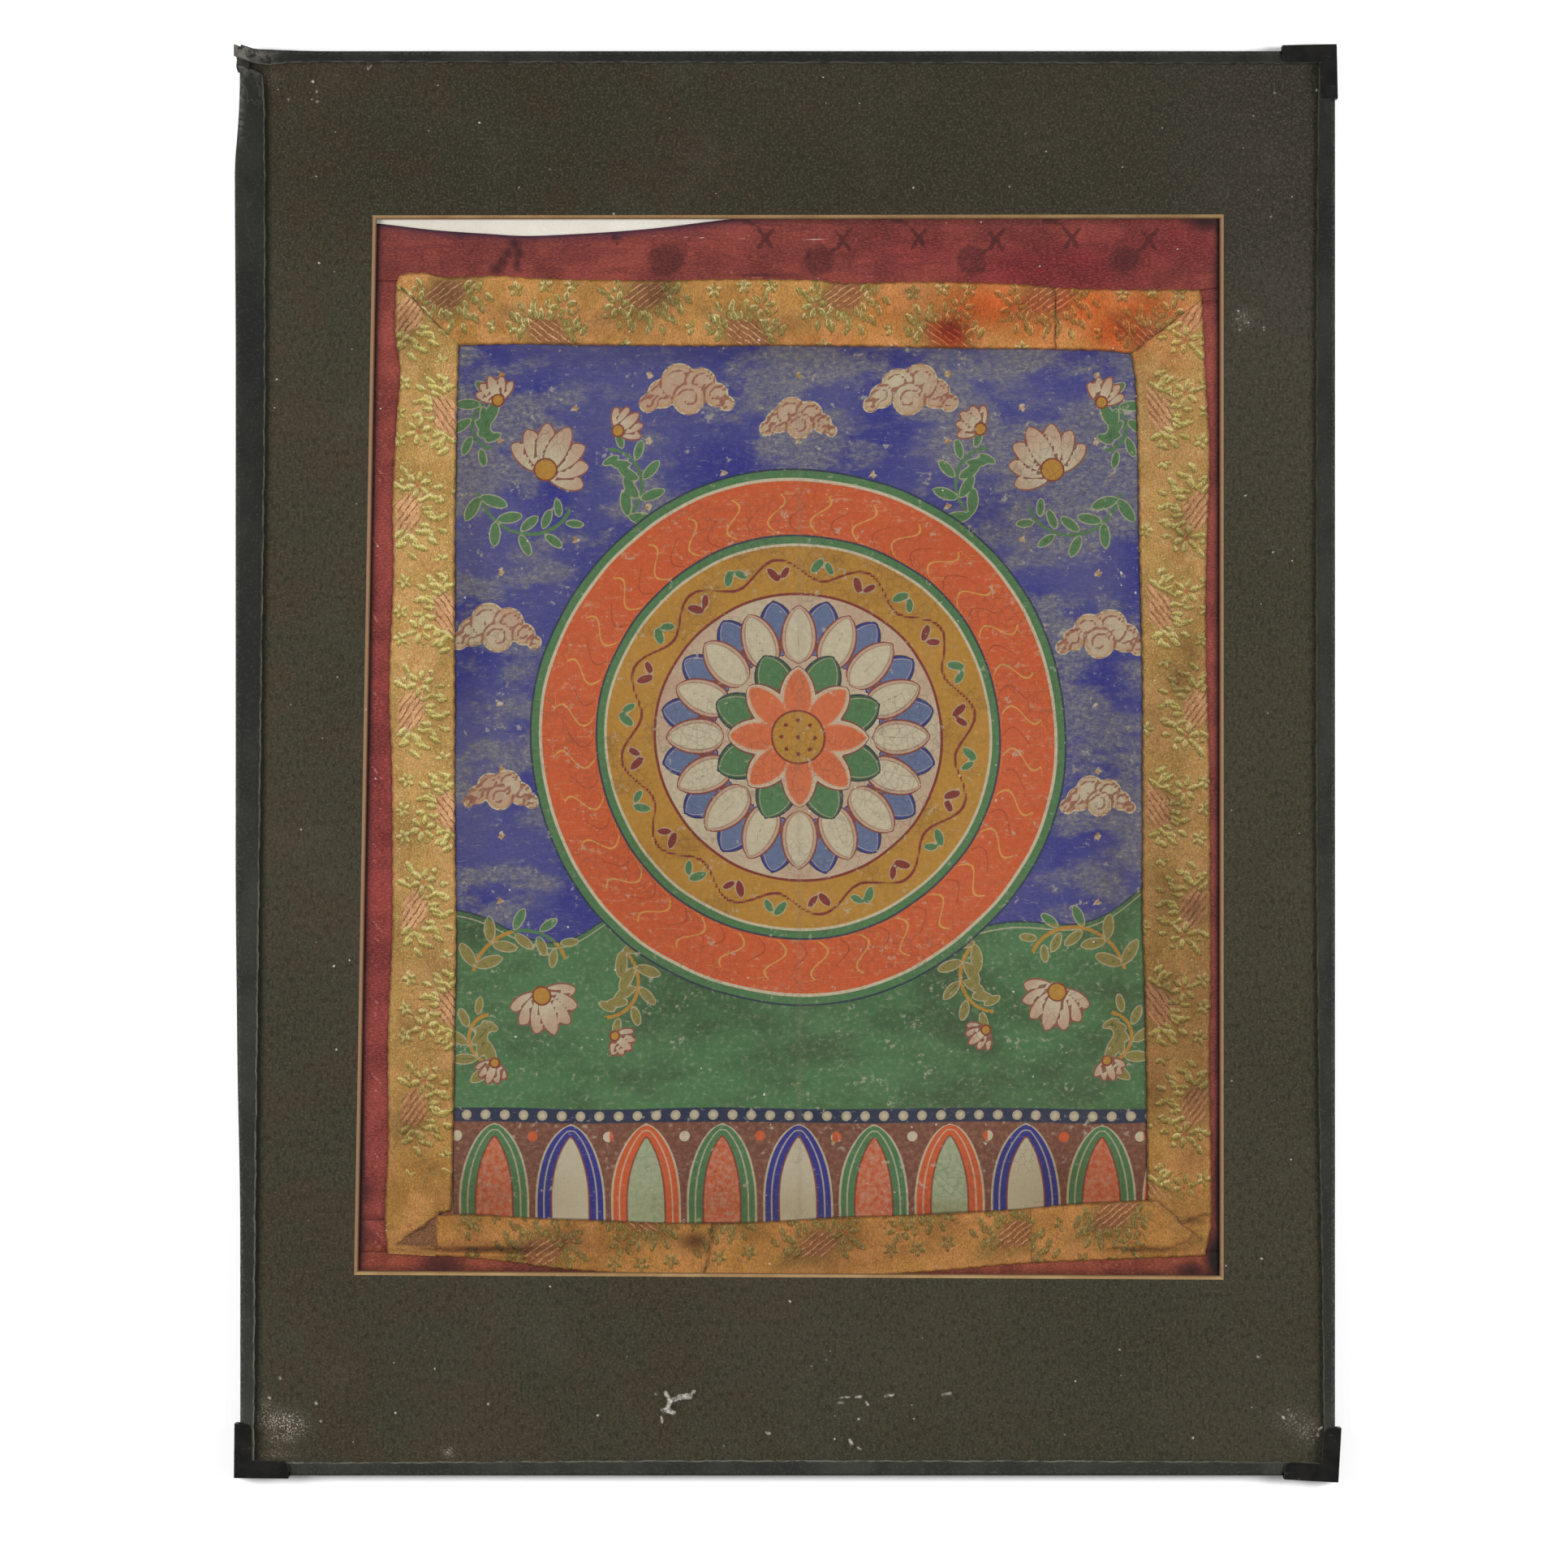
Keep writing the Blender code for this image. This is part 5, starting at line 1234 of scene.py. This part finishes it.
# Blots, and painted shade along the mat's window edges: x, y, half the size along X and Y, and strength
SILK_BLOTS_AND_EDGE_SHADE_MM = (
    (-124.2, 236.4, 3.4, 3.6, 0.95), (-127.4, 232.4, 3.2, 3.4, 0.85), (-130, 228.8, 3.2, 3.6, 0.85),
    (-132.6, 225.4, 4, 3.2, 0.9), (-122.6, 232.4, 2.8, 4.4, 0.9), (-123.4, 227.6, 2.6, 4.4, 0.8),
    (-122, 243, 5, 4, 0.4), (-104, 226, 4, 6, 0.25), (-149, 241.5, 4, 2.4, 0.7), (-78, 240.6, 3.4, 3, 0.8),
    (-185, 244, 6, 3.4, 0.5), (-192, 217, 6, 3, 0.7), (-192, 240, 6, 9, 0.6), (190, 246.6, 11, 5, 0.95),
    (-12, 222.5, 26, 1.3, 0.6), (24, 231.5, 24, 0.9, 0.55), (150, 226, 40, 9, 0.15), (196, 222, 5, 12, 0.5),
    (-194, -216, 7, 12, 0.7), (-104, -229.6, 9, 3, 0.6), (-157, -227.6, 12, 5.5, 0.9),
    (195.5, -225, 7, 14, 1.25), (184, -231, 9, 5, 1), (165, -233, 14, 2.6, 0.5), (196.5, -190, 2.6, 34, 0.9),
    (-195.6, -176, 3.4, 36, 1), (-192.5, -196, 4.4, 9, 0.75), (-192, -207, 7, 3, 0.6),
    (-193, -216, 5, 6, 0.4), (-112, -229, 14, 4, 0.5), (-192, 215, 7, 5, 0.6), (-184, 30, 2.6, 3.4, 0.5),
    (20, 248, 50, 1.6, 0.35), (-60, -232, 30, 2, 0.4), (196.5, 120, 2, 60, 0.35),
)
CRIMSON_MM = (
    (122, 225, 40, 12, 1.3), (60, 233, 26, 10, 0.5), (-187, -20, 8, 150, 0.5), (175, 236, 26, 12, 0.7),
)
SCRATCHES_MM = (
    (-30, 243.8, -24, 239), (-21.5, 242.6, -17, 240.2), (27, 242, 31.5, 239.4), (33, 223, 41, 220.6),
    (-16, 221.5, -6, 220.8), (195.4, 31, 197, 27), (195, -60, 197.2, -63.5), (196, 126, 197.5, 118),
    (-57, 240.6, -50, 240.2),
)


def damask_cross(p, q):
    """Signed distance of the damask's cross: four leaves that meet in the middle."""
    cross = np.minimum(np.hypot(p, q) - 1.7, 9)
    for angle, length, width in DAMASK_ARMS:
        turn, middle = math.radians(angle), length * 0.52
        arm = leaf(p, q, middle * math.cos(turn), middle * math.sin(turn), angle, length, width)
        cross = np.minimum(cross, arm)
    return cross


def silk_motif_fields(x, y):
    """The damask's crosses, ticks and tails along the top, and the round dark blotches between them."""
    number = np.round((x - DAMASK_X_MM) / DAMASK_PITCH_MM)
    flip = np.where(number % 2 == 0, 1, -1)
    cross = damask_cross((x - DAMASK_X_MM - number * DAMASK_PITCH_MM) * flip, y - DAMASK_Y_MM + 0.4 * flip)
    tick_x, tick_y = repeated(x - TICK_X_MM, BLOT_PITCH_MM), y - TICK_Y_MM
    tick = np.minimum(np.hypot(tick_x * 0.6, tick_y) - 1.7, leaf(tick_x, tick_y, 3.2, -1, -24, 6.4, 2))
    blot_x, blot_y = repeated(x - BLOT_X_MM, BLOT_PITCH_MM), y - BLOT_Y_MM
    motif = np.minimum.reduce((cross, tick, leaf(blot_x, blot_y, 7.2, 5, 36, 8, 1.4)))
    motif = np.where(y > 214, motif, 5)
    blotch = np.hypot(blot_x * (1 + 0.1 * np.sin(x / 40)), blot_y * 1.05) - 7.4
    blotch = np.where((y > 214) & (x > -100), blotch, 20)
    return {
        "motif": np.where((x < -20) & (motif < 5), motif + 0.9, motif),
        "motif_depth": np.where(x < -20, 0.5, 0.72) * np.where(tick < cross, 0.8, 1),
        "blotch": np.where(x > 90, blotch + 1.2, blotch),
    }


def crinkle_distance(x, y):
    """Distance to the scratches, and to the crosses down the left, which show as pink crinkles."""
    side_x, side_y = SIDE_DAMASK_X_Y_MM
    p, q = x - side_x, repeated(y - side_y, DAMASK_PITCH_MM)
    bent = 0.7 * np.sin(y / 1.9) + 0.5 * np.sin(y / 0.8 + 1)
    up = np.where(np.hypot(p, q - 1.5) < 4.2, np.abs(p * 0.75 + (q - 1.5) * 0.62 + 0.5 * bent), 9)
    down = np.where(np.hypot(p, q + 4) < 2.6, np.abs(p * 0.62 + (q + 4) * 0.72 + 0.4 * bent), 9)
    crinkle = np.where((x < -176) & (y < 190), np.minimum(up, down), 9)
    for line in SCRATCHES_MM:
        crinkle = np.minimum(crinkle, segment_distance(x, y, *line) + 0.15 * np.abs(bent))
    return crinkle


def seam_distance(x, y):
    """Distance to the nearest of the seams that join the silk lengths at the sides, which painted shade
    darkens.
    """
    slope = 0.12 * (x - SILK_INNER_X_MM[1])
    left = [np.abs(y - level) + np.where(x > -170, 9, 0) for level in SILK_SEAMS_LEFT_Y_MM]
    right = [np.abs(y - level - slope) + np.where(x < 175, 9, 0) for level in SILK_SEAMS_RIGHT_Y_MM[::2]]
    return np.minimum.reduce(left + right)


def silk_fields(x, y):
    thread_y = 241 - 1.4 * np.cos(x / 60) - 0.012 * (x + 60)
    head = smooth_table(SILK_TOP_EDGE_X_Y_MM, x)
    violet = np.where((y > 214) & (x < 0), np.exp(-np.maximum(head - y - 0.7, 0) / 1.6), 0)
    left_edge = WINDOW_MM[0][0] - 0.0206 * (WINDOW_MM[0][1] - y) * 0.9
    inside = np.minimum(x - left_edge, WINDOW_MM[1][0] - x)
    side_shadow = np.exp(-(np.maximum(inside - 2, 0) / 2.2))
    return {
        **silk_motif_fields(x, y),
        "blot": spots(x, y, SILK_BLOTS_AND_EDGE_SHADE_MM),
        "crimson": spots(x, y, CRIMSON_MM),
        "thread": np.where((x > -137) & (x < 154), np.abs(y - thread_y), 9),
        "crinkle": crinkle_distance(x, y),
        "violet": ramp(violet) * 0.85,
        "shadow": ramp(0.55 * (1 - inside_window(x, y, 3)) + 0.55 * side_shadow),
        "seam": seam_distance(x, y),
    }


def silk_strip(name, low, high, cells, material):
    """One silk length between a low and a high edge, each a table of x and y from left to right."""

    def spread(u, v):
        low_x, high_x = (blend(table[0][0], table[-1][0], u) for table in (low, high))
        return blend(low_x, high_x, v), blend(smooth_table(low, low_x), smooth_table(high, high_x), v)

    def place(u, v):
        x, y = spread(u, v)
        lift = 0.2 * uneven(x + y, 1.1) + fold_height(x, y, SILK_FOLDS_MM) + 0.06 * (1 + crumple(x, y, 7, 3))
        rim = np.maximum(*(rolled_edge(share, 0.7 / steps, 0.4) for share, steps in zip((u, v), cells)))
        return x, y, SILK_TOP + lift * inside_window(x, y, 2) - rim

    piece = sheet_grid(name + "_cloth", *cells, place, lambda u, v: silk_fields(*spread(u, v)))
    finish_piece(piece, material, (name,))
    low_corner, high_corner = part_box(name)
    size = high_corner - low_corner
    widest = max(table[-1][0] - table[0][0] for table in (low, high)) * MM
    tallest = (max(y for _, y in high) - min(y for _, y in low)) * MM
    # The shortest piece shows 8 mm, and is cut 1 mm longer at each seam
    flat = (min(widest, size.x), max(min(tallest, size.y), 0.010))
    area = 0.85 * flat[0] * flat[1] if name == "silk_patch_right" else None


def build_silk():
    gap = 0.02  # the seams draw shut
    left, right = SILK_INNER_X_MM
    outer_right = WINDOW_MM[1][0] + SILK_UNDER_MAT_MM
    head_x = SILK_TOP_EDGE_X_Y_MM[0][0]
    foot_x, foot_y = (value - SILK_UNDER_MAT_MM for value in WINDOW_MM[3])
    top_y, low_y, last_y = SILK_SEAMS_LEFT_Y_MM
    inner_y, outer_y, right_low_y = SILK_SEAMS_RIGHT_Y_MM
    tuck = SILK_TUCK_MM
    top_foot = (
        (head_x, top_y), (left + 8, top_y), (left + 16, top_y - tuck), (right - 13, inner_y - tuck),
        (right - 5, inner_y - 0.5), (right + 2, inner_y + 0.25), (outer_right, outer_y),
    )
    bottom_head = (
        (foot_x, last_y - gap), (left + 8, last_y - gap), (left + 22, last_y + tuck / 2),
        (right - 22, last_y + tuck / 2), (right - 6, last_y - gap), (outer_right, last_y - gap),
    )

    def level(x0, x1, y, rise=0):
        return (x0, y), (x1, y + rise)

    material = silk_material()
    for name, low, high, cells in (
        ("top", top_foot, SILK_TOP_EDGE_X_Y_MM, (400, 36)),
        ("bottom", level(foot_x, outer_right, foot_y), bottom_head, (300, 16)),
        (
            "left", level(foot_x + 0.4, left - 4, low_y + gap), level(head_x, left, top_y - gap),
            (32, 400),
        ),
        (
            "patch_left", level(foot_x, left - 4, last_y), level(foot_x + 0.4, left - 4, low_y - gap),
            (32, 14),
        ),
        (
            "patch_right", level(right, outer_right, right_low_y, 1),
            level(right, outer_right, inner_y - gap, outer_y - inner_y), (24, 8),
        ),
        (
            "right", level(right + 1, outer_right, last_y), level(right, outer_right, right_low_y - gap, 1),
            (24, 400),
        ),
    ):
        silk_strip("silk_" + name, low, high, cells, material)


# Edge tape, with its crinkles, over the frame's four tapes

TAPE_SECTION_STEPS = 30
TAPE_T = 0.00025
TAPE_LIFT_MM, TAPE_OUT_MM, TAPE_BEND_MM = 1.3, 0.92, 0.9  # over the glass, off the side, and round each bend
TAPE_BUBBLE_MM, TAPE_SETTLE_MM = 0.25, 0.95
CAP_ARM_MM, CAP_CLEAR_MM = 24.8, 0.3
CAPS_MM = {  # beyond the panel along X and Y
    ("right", "top"): (1.9, 4.35), ("left", "bottom"): (4.05, 2.3), ("right", "bottom"): (2.65, 4.35),
}
SCRAP_MM = ((-251.3, 322.3), (-244.6, 321), (-245.6, 315.2), (-250.3, 314.6))  # its corners
WORN_TAPE_MM = ((-248, 322, 12, 7, 1.2), (-249.5, 300, 2, 14, 0.9))
CREASED_TAPE_MM = ((-245, 309, 7, 11, 0.8), (-246, 262, 5, 34, 0.25))


def tape_outline(play, front_w, share):
    """The tape's outer face round the panel's edge, from the back flange's end to the front flange's end."""
    high, bend = GLASS_TOP + TAPE_LIFT_MM, TAPE_BEND_MM
    side = play + TAPE_OUT_MM
    spans = (TAPE_BACK_W_MM + side - bend, 1.3 * bend, high - 2 * bend, 1.3 * bend, front_w + side - bend)
    total = sum(spans)
    start = 0
    shares = []
    for span in spans:
        shares.append(ramp((share * total - start) / span))
        start = start + span
    back, low_turn, rise, high_turn, front = shares
    low_turn, high_turn = low_turn * math.pi / 2, high_turn * math.pi / 2
    out = back * spans[0] - TAPE_BACK_W_MM + bend * np.sin(low_turn) - bend * (1 - np.cos(high_turn))
    up = bend * (1 - np.cos(low_turn)) + rise * spans[2] + bend * np.sin(high_turn)
    return out - front * spans[4], up, total * (1 - share)


def give_thickness(piece, offset):
    solidify = piece.modifiers.new("thickness", "SOLIDIFY")
    solidify.thickness, solidify.offset = TAPE_T, offset


def build_tape(side, rows, wrinkle, material):
    """One tape. wrinkle gives its crinkles' strength from the place along the edge."""
    name = "edge_tape_" + side
    outwards = {"left": (-1, 0), "right": (1, 0), "top": (0, 1), "bottom": (0, -1)}[side]
    upright = side in ("left", "right")
    edge, reach = (PANEL_X, PANEL_Y) if upright else (PANEL_Y, PANEL_X)
    ends = sorted((rows[0][0], rows[-1][0]))
    forwards = side in ("right", "bottom")
    plays, widths = [(row[0], row[1]) for row in rows], [(row[0], row[2]) for row in rows]

    def strip(u, v):
        s = blend(*ends, u if forwards else 1 - u)
        ragged = 0.22 * np.sin(s / 3.1) * np.sin(s / 7.7 + 1) + 0.12 * np.sin(s / 0.9)
        return s, *tape_outline(smooth_table(plays, s), smooth_table(widths, s) + ragged, v)

    def on_panel(out, along):
        """x and y of a place beyond the panel's edge and along it."""
        x, y = (outward * (edge + out) for outward in outwards)
        return (x, y + along) if upright else (x + along, y)

    def place(u, v):
        s, out, up, from_edge = strip(u, v)
        front = up > GLASS_TOP + 0.9
        # The free edge lies down on the glass, and the flange crinkles and bubbles behind it
        settle = ramp(1 - from_edge) ** 1.5
        crinkle = wrinkle(s) * (0.35 * crumple(s, out * 2, 16, 21) + 0.22 * crumple(s, out, 5, 22))
        up = np.where(front, up - ramp(TAPE_BUBBLE_MM - crinkle) - TAPE_SETTLE_MM * settle, up)
        torn_end = (side == "left") & (s > 0) | (side == "top") & (s < 0)
        mitre = np.where(torn_end & (up > SILK_TOP), 0, (np.maximum(-out, 0) + SEAM_GAP_MM) / reach)
        along = s * (1 - mitre)
        if side == "top":
            share = ramp((FLAP_LENGTH_MM - PANEL_X - s) / FLAP_LENGTH_MM) ** 2 * front
            along = along + (FLAP_TIP_X_MM + PANEL_X) * share
            out, up = out + FLAP_SWING_MM * share, up + FLAP_RISE_MM * share
        return *on_panel(out, along), up

    def fields(u, v):
        s, out, up, from_edge = strip(u, v)
        x, y = on_panel(out, s)
        fold = np.exp(-(((out - smooth_table(plays, s) - 0.5) / 0.8) ** 2))
        worn, creased = spots(x, y, WORN_TAPE_MM), spots(x, y, CREASED_TAPE_MM)
        return {"edge": from_edge, "fold": fold, "worn": worn, "creased": creased}

    piece = sheet_grid(name + "_paper", int((ends[1] - ends[0]) / 2), TAPE_SECTION_STEPS, place, fields)
    cut_under_caps(piece, side)
    finish_piece(piece, material, (name,))
    give_thickness(piece, -1)


def cut_under_caps(piece, side):
    """Takes away the tape's faces where a cap's side and back are."""
    upright = side in ("left", "right")
    mesh = bmesh.new()
    mesh.from_mesh(piece.data)
    for (x_side, y_side), (beyond_x, beyond_y) in CAPS_MM.items():
        if side not in (x_side, y_side):
            continue
        sx, sy = (1 if x_side == "right" else -1), (1 if y_side == "top" else -1)
        start = (PANEL_Y + beyond_y if upright else PANEL_X + beyond_x) - CAP_CLEAR_MM - CAP_ARM_MM
        heading = Vector((0, sy, 0)) if upright else Vector((sx, 0, 0))
        everything = mesh.verts[:] + mesh.edges[:] + mesh.faces[:]
        bmesh.ops.bisect_plane(mesh, geom=everything, plane_co=heading * start * MM, plane_no=heading)
        gone = []
        for face in mesh.faces:
            centre = face.calc_center_median() / MM
            out = centre.x * sx - PANEL_X if upright else centre.y * sy - PANEL_Y
            if centre.dot(heading) > start and (out > -0.3 or centre.z < GLASS_TOP):
                gone.append(face)
        bmesh.ops.delete(mesh, geom=gone, context="FACES")
    mesh.to_mesh(piece.data)
    mesh.free()


def build_scrap(material):
    """The torn-off end that still sticks round the panel's corner, where no cap covers it."""

    def place(u, v):
        weights = ((1 - u) * (1 - v), u * (1 - v), u * v, (1 - u) * v)
        x, y = (sum(weight * corner[axis] for weight, corner in zip(weights, SCRAP_MM)) for axis in (0, 1))
        x, y = x + 0.35 * crumple(x, y, 5, 31) * (1 - u), y + 0.3 * crumple(x, y, 4, 32)
        slope = ramp((-247.6 - x) / 3.4)
        return x, y, GLASS_TOP + 0.12 - 5.4 * slope**1.4 + 0.12 * crumple(x, y, 3, 33)

    def fields(u, v):
        carried = {"edge": 5, "fold": 0, "worn": 0, "creased": 0.3}
        return {name: np.full_like(u, value) for name, value in carried.items()}

    piece = sheet_grid("edge_tape_scrap", 24, 24, place, fields)
    finish_piece(piece, material)
    give_thickness(piece, 0)


def build_tapes():
    material = tape_material()
    build_scrap(material)
    build_tape("left", TAPE_LEFT_MM, lambda s: 0.35 + 0.9 * np.exp(-(((s - 290) / 70) ** 2)), material)
    build_tape("top", TAPE_TOP_MM, lambda s: 0.15 + 0.35 * np.exp(-(((s + 240) / 16) ** 2)), material)
    build_tape("right", TAPE_RIGHT_MM, lambda s: 0.18, material)
    build_tape("bottom", TAPE_BOTTOM_MM, lambda s: 0.18, material)


# Residue and dust on the glass

FILM_CELL_MM, FILM_LIFT_MM, DUST_LIFT_MM = 0.6, 0.08, 0.09
DUST_GRAINS, DUST_CORNERS = 190, 5
# Lines of dried paste: x and y of both ends, and half the width
SMEARS_MM = (
    (-55.6, -286.6, -53.6, -290.2, 0.9), (-53.6, -290.2, -49, -288.6, 1.1), (-49, -288.6, -44.8, -288.2, 1.3),
    (-44.8, -288.2, -42.6, -286, 0.6), (-53.6, -290.2, -54.6, -293.4, 0.9), (-57, -294.2, -51.8, -295.6, 1),
    (-57.6, -297.6, -57, -300, 0.5), (-60.4, -287, -60, -287.4, 0.4), (23, -289, 28.4, -288.6, 0.3),
    (22, -291.4, 26, -291, 0.3), (31.2, -288.4, 33.4, -288.2, 0.55), (35.6, -290.6, 36.6, -292, 0.4),
    (44.4, -288, 48, -287.6, 0.5), (70.4, -287.4, 74, -286.8, 0.55), (28.2, -308.2, 29.4, -309.8, 0.7),
    (32, -311.6, 33, -312.2, 0.4), (-9.6, -304.8, -8.2, -305.2, 0.5), (61.2, -301, 61.6, -301.2, 0.4),
    (-154.8, -313.8, -154.2, -314, 0.25), (-227.6, 302.6, -227.2, 302, 0.35),
    (-216.4, 310.6, -215.8, 310.2, 0.5), (-214.6, 306.2, -214.4, 305.6, 0.45),
    (-216.8, 302.4, -216.2, 302.2, 0.4), (-214.2, 301.4, -214, 301.2, 0.4), (-191, 316, -189.6, 317.6, 0.3),
    (-191.4, 317.3, -191, 317.1, 0.4), (-231.4, -279.8, -231, -280.2, 0.6), (-215, -291, -214.6, -291.6, 0.6),
    (-236.2, -288.6, -235.6, -289, 0.5), (-212.8, -299.6, -212.4, -300, 0.5), (205, 206.2, 205.3, 205.8, 0.5),
    (204, 202.7, 204.4, 202.3, 0.38), (205.8, 197.3, 206, 197, 0.35), (209.8, 200.9, 210, 200.7, 0.35),
    (216.5, 198.6, 216.7, 198.4, 0.45), (220, 248.9, 220.2, 248.8, 0.45), (221.5, 305.5, 222, 305.2, 0.4),
    (214, -270, 214.6, -270.4, 0.4), (225.5, -297.4, 225.8, -298.4, 0.5), (229, -297.2, 229.3, -298, 0.45),
    (227.8, -294, 228, -294.4, 0.4), (241.8, -303.2, 243, -302.4, 0.35), (241.3, -305, 241.6, -306, 0.5),
    (240.6, 306.8, 240.8, 306.4, 0.45),
)
# Soft patches of speckled grime
GRIME_MM = (
    (-231.5, -299, 9, 4.4, 0.8), (-227, -301.6, 7, 4.2, 0.9), (-238, -294, 3, 5, 0.4),
    (-229, -306.5, 8, 3, 0.5), (-232, -314, 8, 4, 0.22), (237, -304, 6, 6, 0.32), (230, -299, 8, 5, 0.28),
    (-154.5, -313.4, 2.6, 2.6, 0.9), (207, 202, 5, 5, 0.28), (-236, 312, 5, 4, 0.12),
)
# The film's patches: middle x, y and half the size along X and Y
FILM_PATCHES_MM = (
    (-51, -293, 13, 11), (50, -291, 31, 8), (12, -308, 26, 7), (-223, -298.5, 19.5, 22.5),
    (230, -298, 14.5, 21), (240.7, 306.6, 2, 2), (210, 202, 10, 9), (-214, 309, 29, 11),
    (-154.5, -314, 5, 4.5), (222, 305.5, 4, 4), (214.3, -270.2, 4, 3), (220.1, 248.8, 2.4, 2.4),
)


def build_film():
    """Thin patches that lie on the glass and carry its dried marks, and grains of dust all over the pane."""
    points, faces, smear, grime = [], [], [], []
    for cx, cy, rx, ry in FILM_PATCHES_MM:
        columns, rows = int(rx * 2 / FILM_CELL_MM), int(ry * 2 / FILM_CELL_MM)
        across, down = np.linspace(cx - rx, cx + rx, columns + 1), np.linspace(cy - ry, cy + ry, rows + 1)
        x, y = np.meshgrid(across, down)
        faces.extend(grid_faces(columns, rows, len(points)))
        z = np.full_like(x, GLASS_TOP + FILM_LIFT_MM)
        points.extend((np.stack((x.ravel(), y.ravel(), z.ravel()), 1) * MM).tolist())
        nearest = np.full_like(x, 9.0)
        for *line, half_width in SMEARS_MM:
            nearest = np.minimum(nearest, segment_distance(x, y, *line) - half_width)
        rim = np.minimum(rx - np.abs(x - cx), ry - np.abs(y - cy))
        smear.append(nearest.ravel())
        grime.append((spots(x, y, GRIME_MM) * ramp(rim / 6) ** 0.7).ravel())
    for _ in range(DUST_GRAINS):
        x, y = rng.uniform(-1, 1) * (PANEL_X - 14), rng.uniform(-1, 1) * (PANEL_Y - 10)
        size, turn = 0.36 + 0.42 * rng.uniform() ** 2, rng.uniform(0, math.pi)
        faces.append([len(points) + k for k in range(DUST_CORNERS)])
        for k in range(DUST_CORNERS):
            a, r = turn + k * 2 * math.pi / DUST_CORNERS, size * rng.uniform(0.5, 1.1)
            place = (x + r * math.cos(a), y + r * math.sin(a), GLASS_TOP + DUST_LIFT_MM)
            points.append([value * MM for value in place])
        smear.append(np.full(DUST_CORNERS, -1.9 + rng.uniform()))
        grime.append(np.zeros(DUST_CORNERS))
    marks = {"smear": np.concatenate(smear), "grime": np.concatenate(grime)}
    finish_piece(new_piece("glass_film", points, faces, marks), film_material())


# The frame's own solids, the stage, the lights and the camera

CAMERA_DISTANCE = 5.0
VIEW_WIDTH = 0.7139  # what the picture takes in at the panel's front
VIEW_MIDDLE = (-0.00166, -0.00942)
CAP_WELD, CAP_SOFTNESS = 0.00001, 0.0007
FLOOR_REACH, FLOOR_Z, FLOOR_GREY = 6, -0.0005, 0.93
ROOM_STRENGTH = 0.22
SOFTBOX_SIZE, SOFTBOX_POWER = (0.9, 1.3), 66
SOFTBOX_X, SOFTBOX_Y, SOFTBOX_Z = 1.7, 0.15, 1.7


def dress_frame():
    """New materials on the solids that stay, and softened edges on the caps."""
    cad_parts["backing_board"].material_slots[0].material = board_material()
    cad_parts["mat_board"].material_slots[0].material = mat_material()
    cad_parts["glass_pane"].material_slots[0].material = glass_material()
    plastic = cap_material()
    for name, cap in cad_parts.items():
        if name.startswith("corner_cap"):
            cap.material_slots[0].material = plastic
            cap.modifiers.new("joined_faces", "WELD").merge_threshold = CAP_WELD
            bevel = cap.modifiers.new("soft_edges", "BEVEL")
            bevel.width, bevel.segments = CAP_SOFTNESS, 3
            bevel.limit_method, bevel.angle_limit = "ANGLE", math.radians(40)


def build_stage():
    floor_mesh = bpy.data.meshes.new("floor")
    plane = bmesh.new()
    bmesh.ops.create_grid(plane, x_segments=1, y_segments=1, size=FLOOR_REACH)
    plane.to_mesh(floor_mesh)
    plane.free()
    floor = link("floor", floor_mesh)
    floor.location.z = FLOOR_Z
    pale = Paint("pale_floor", 0.9, 0.5)
    pale.set("Base Color", [FLOOR_GREY] * 3)
    floor_mesh.materials.append(pale.material)


def build_lights():
    world = bpy.data.worlds.new("soft_room")
    bpy.context.scene.world = world
    world.use_nodes = True
    sky = world.node_tree.nodes["Background"].inputs
    sky["Color"].default_value = (1, 1, 1, 1)
    sky["Strength"].default_value = ROOM_STRENGTH
    for side in (-1, 1):
        lamp = bpy.data.lights.new("softbox", "AREA")
        lamp.shape, lamp.energy = "RECTANGLE", SOFTBOX_POWER
        lamp.size, lamp.size_y = SOFTBOX_SIZE
        thing = link("softbox", lamp)
        thing.location = (side * SOFTBOX_X, SOFTBOX_Y, SOFTBOX_Z)
        thing.rotation_euler = (-thing.location).to_track_quat("-Z", "Y").to_euler()


def build_camera():
    data = bpy.data.cameras.new("camera")
    data.sensor_width = 36
    data.lens = data.sensor_width * CAMERA_DISTANCE / VIEW_WIDTH
    camera = link("camera", data)
    camera.location = (*VIEW_MIDDLE, GLASS_TOP * MM + CAMERA_DISTANCE)
    bpy.context.scene.camera = camera
    bpy.context.scene.view_settings.view_transform = "Standard"


build_camera()
build_stage()
build_lights()
dress_frame()
build_silk()
build_painting()
build_brocade()
build_tapes()
build_film()
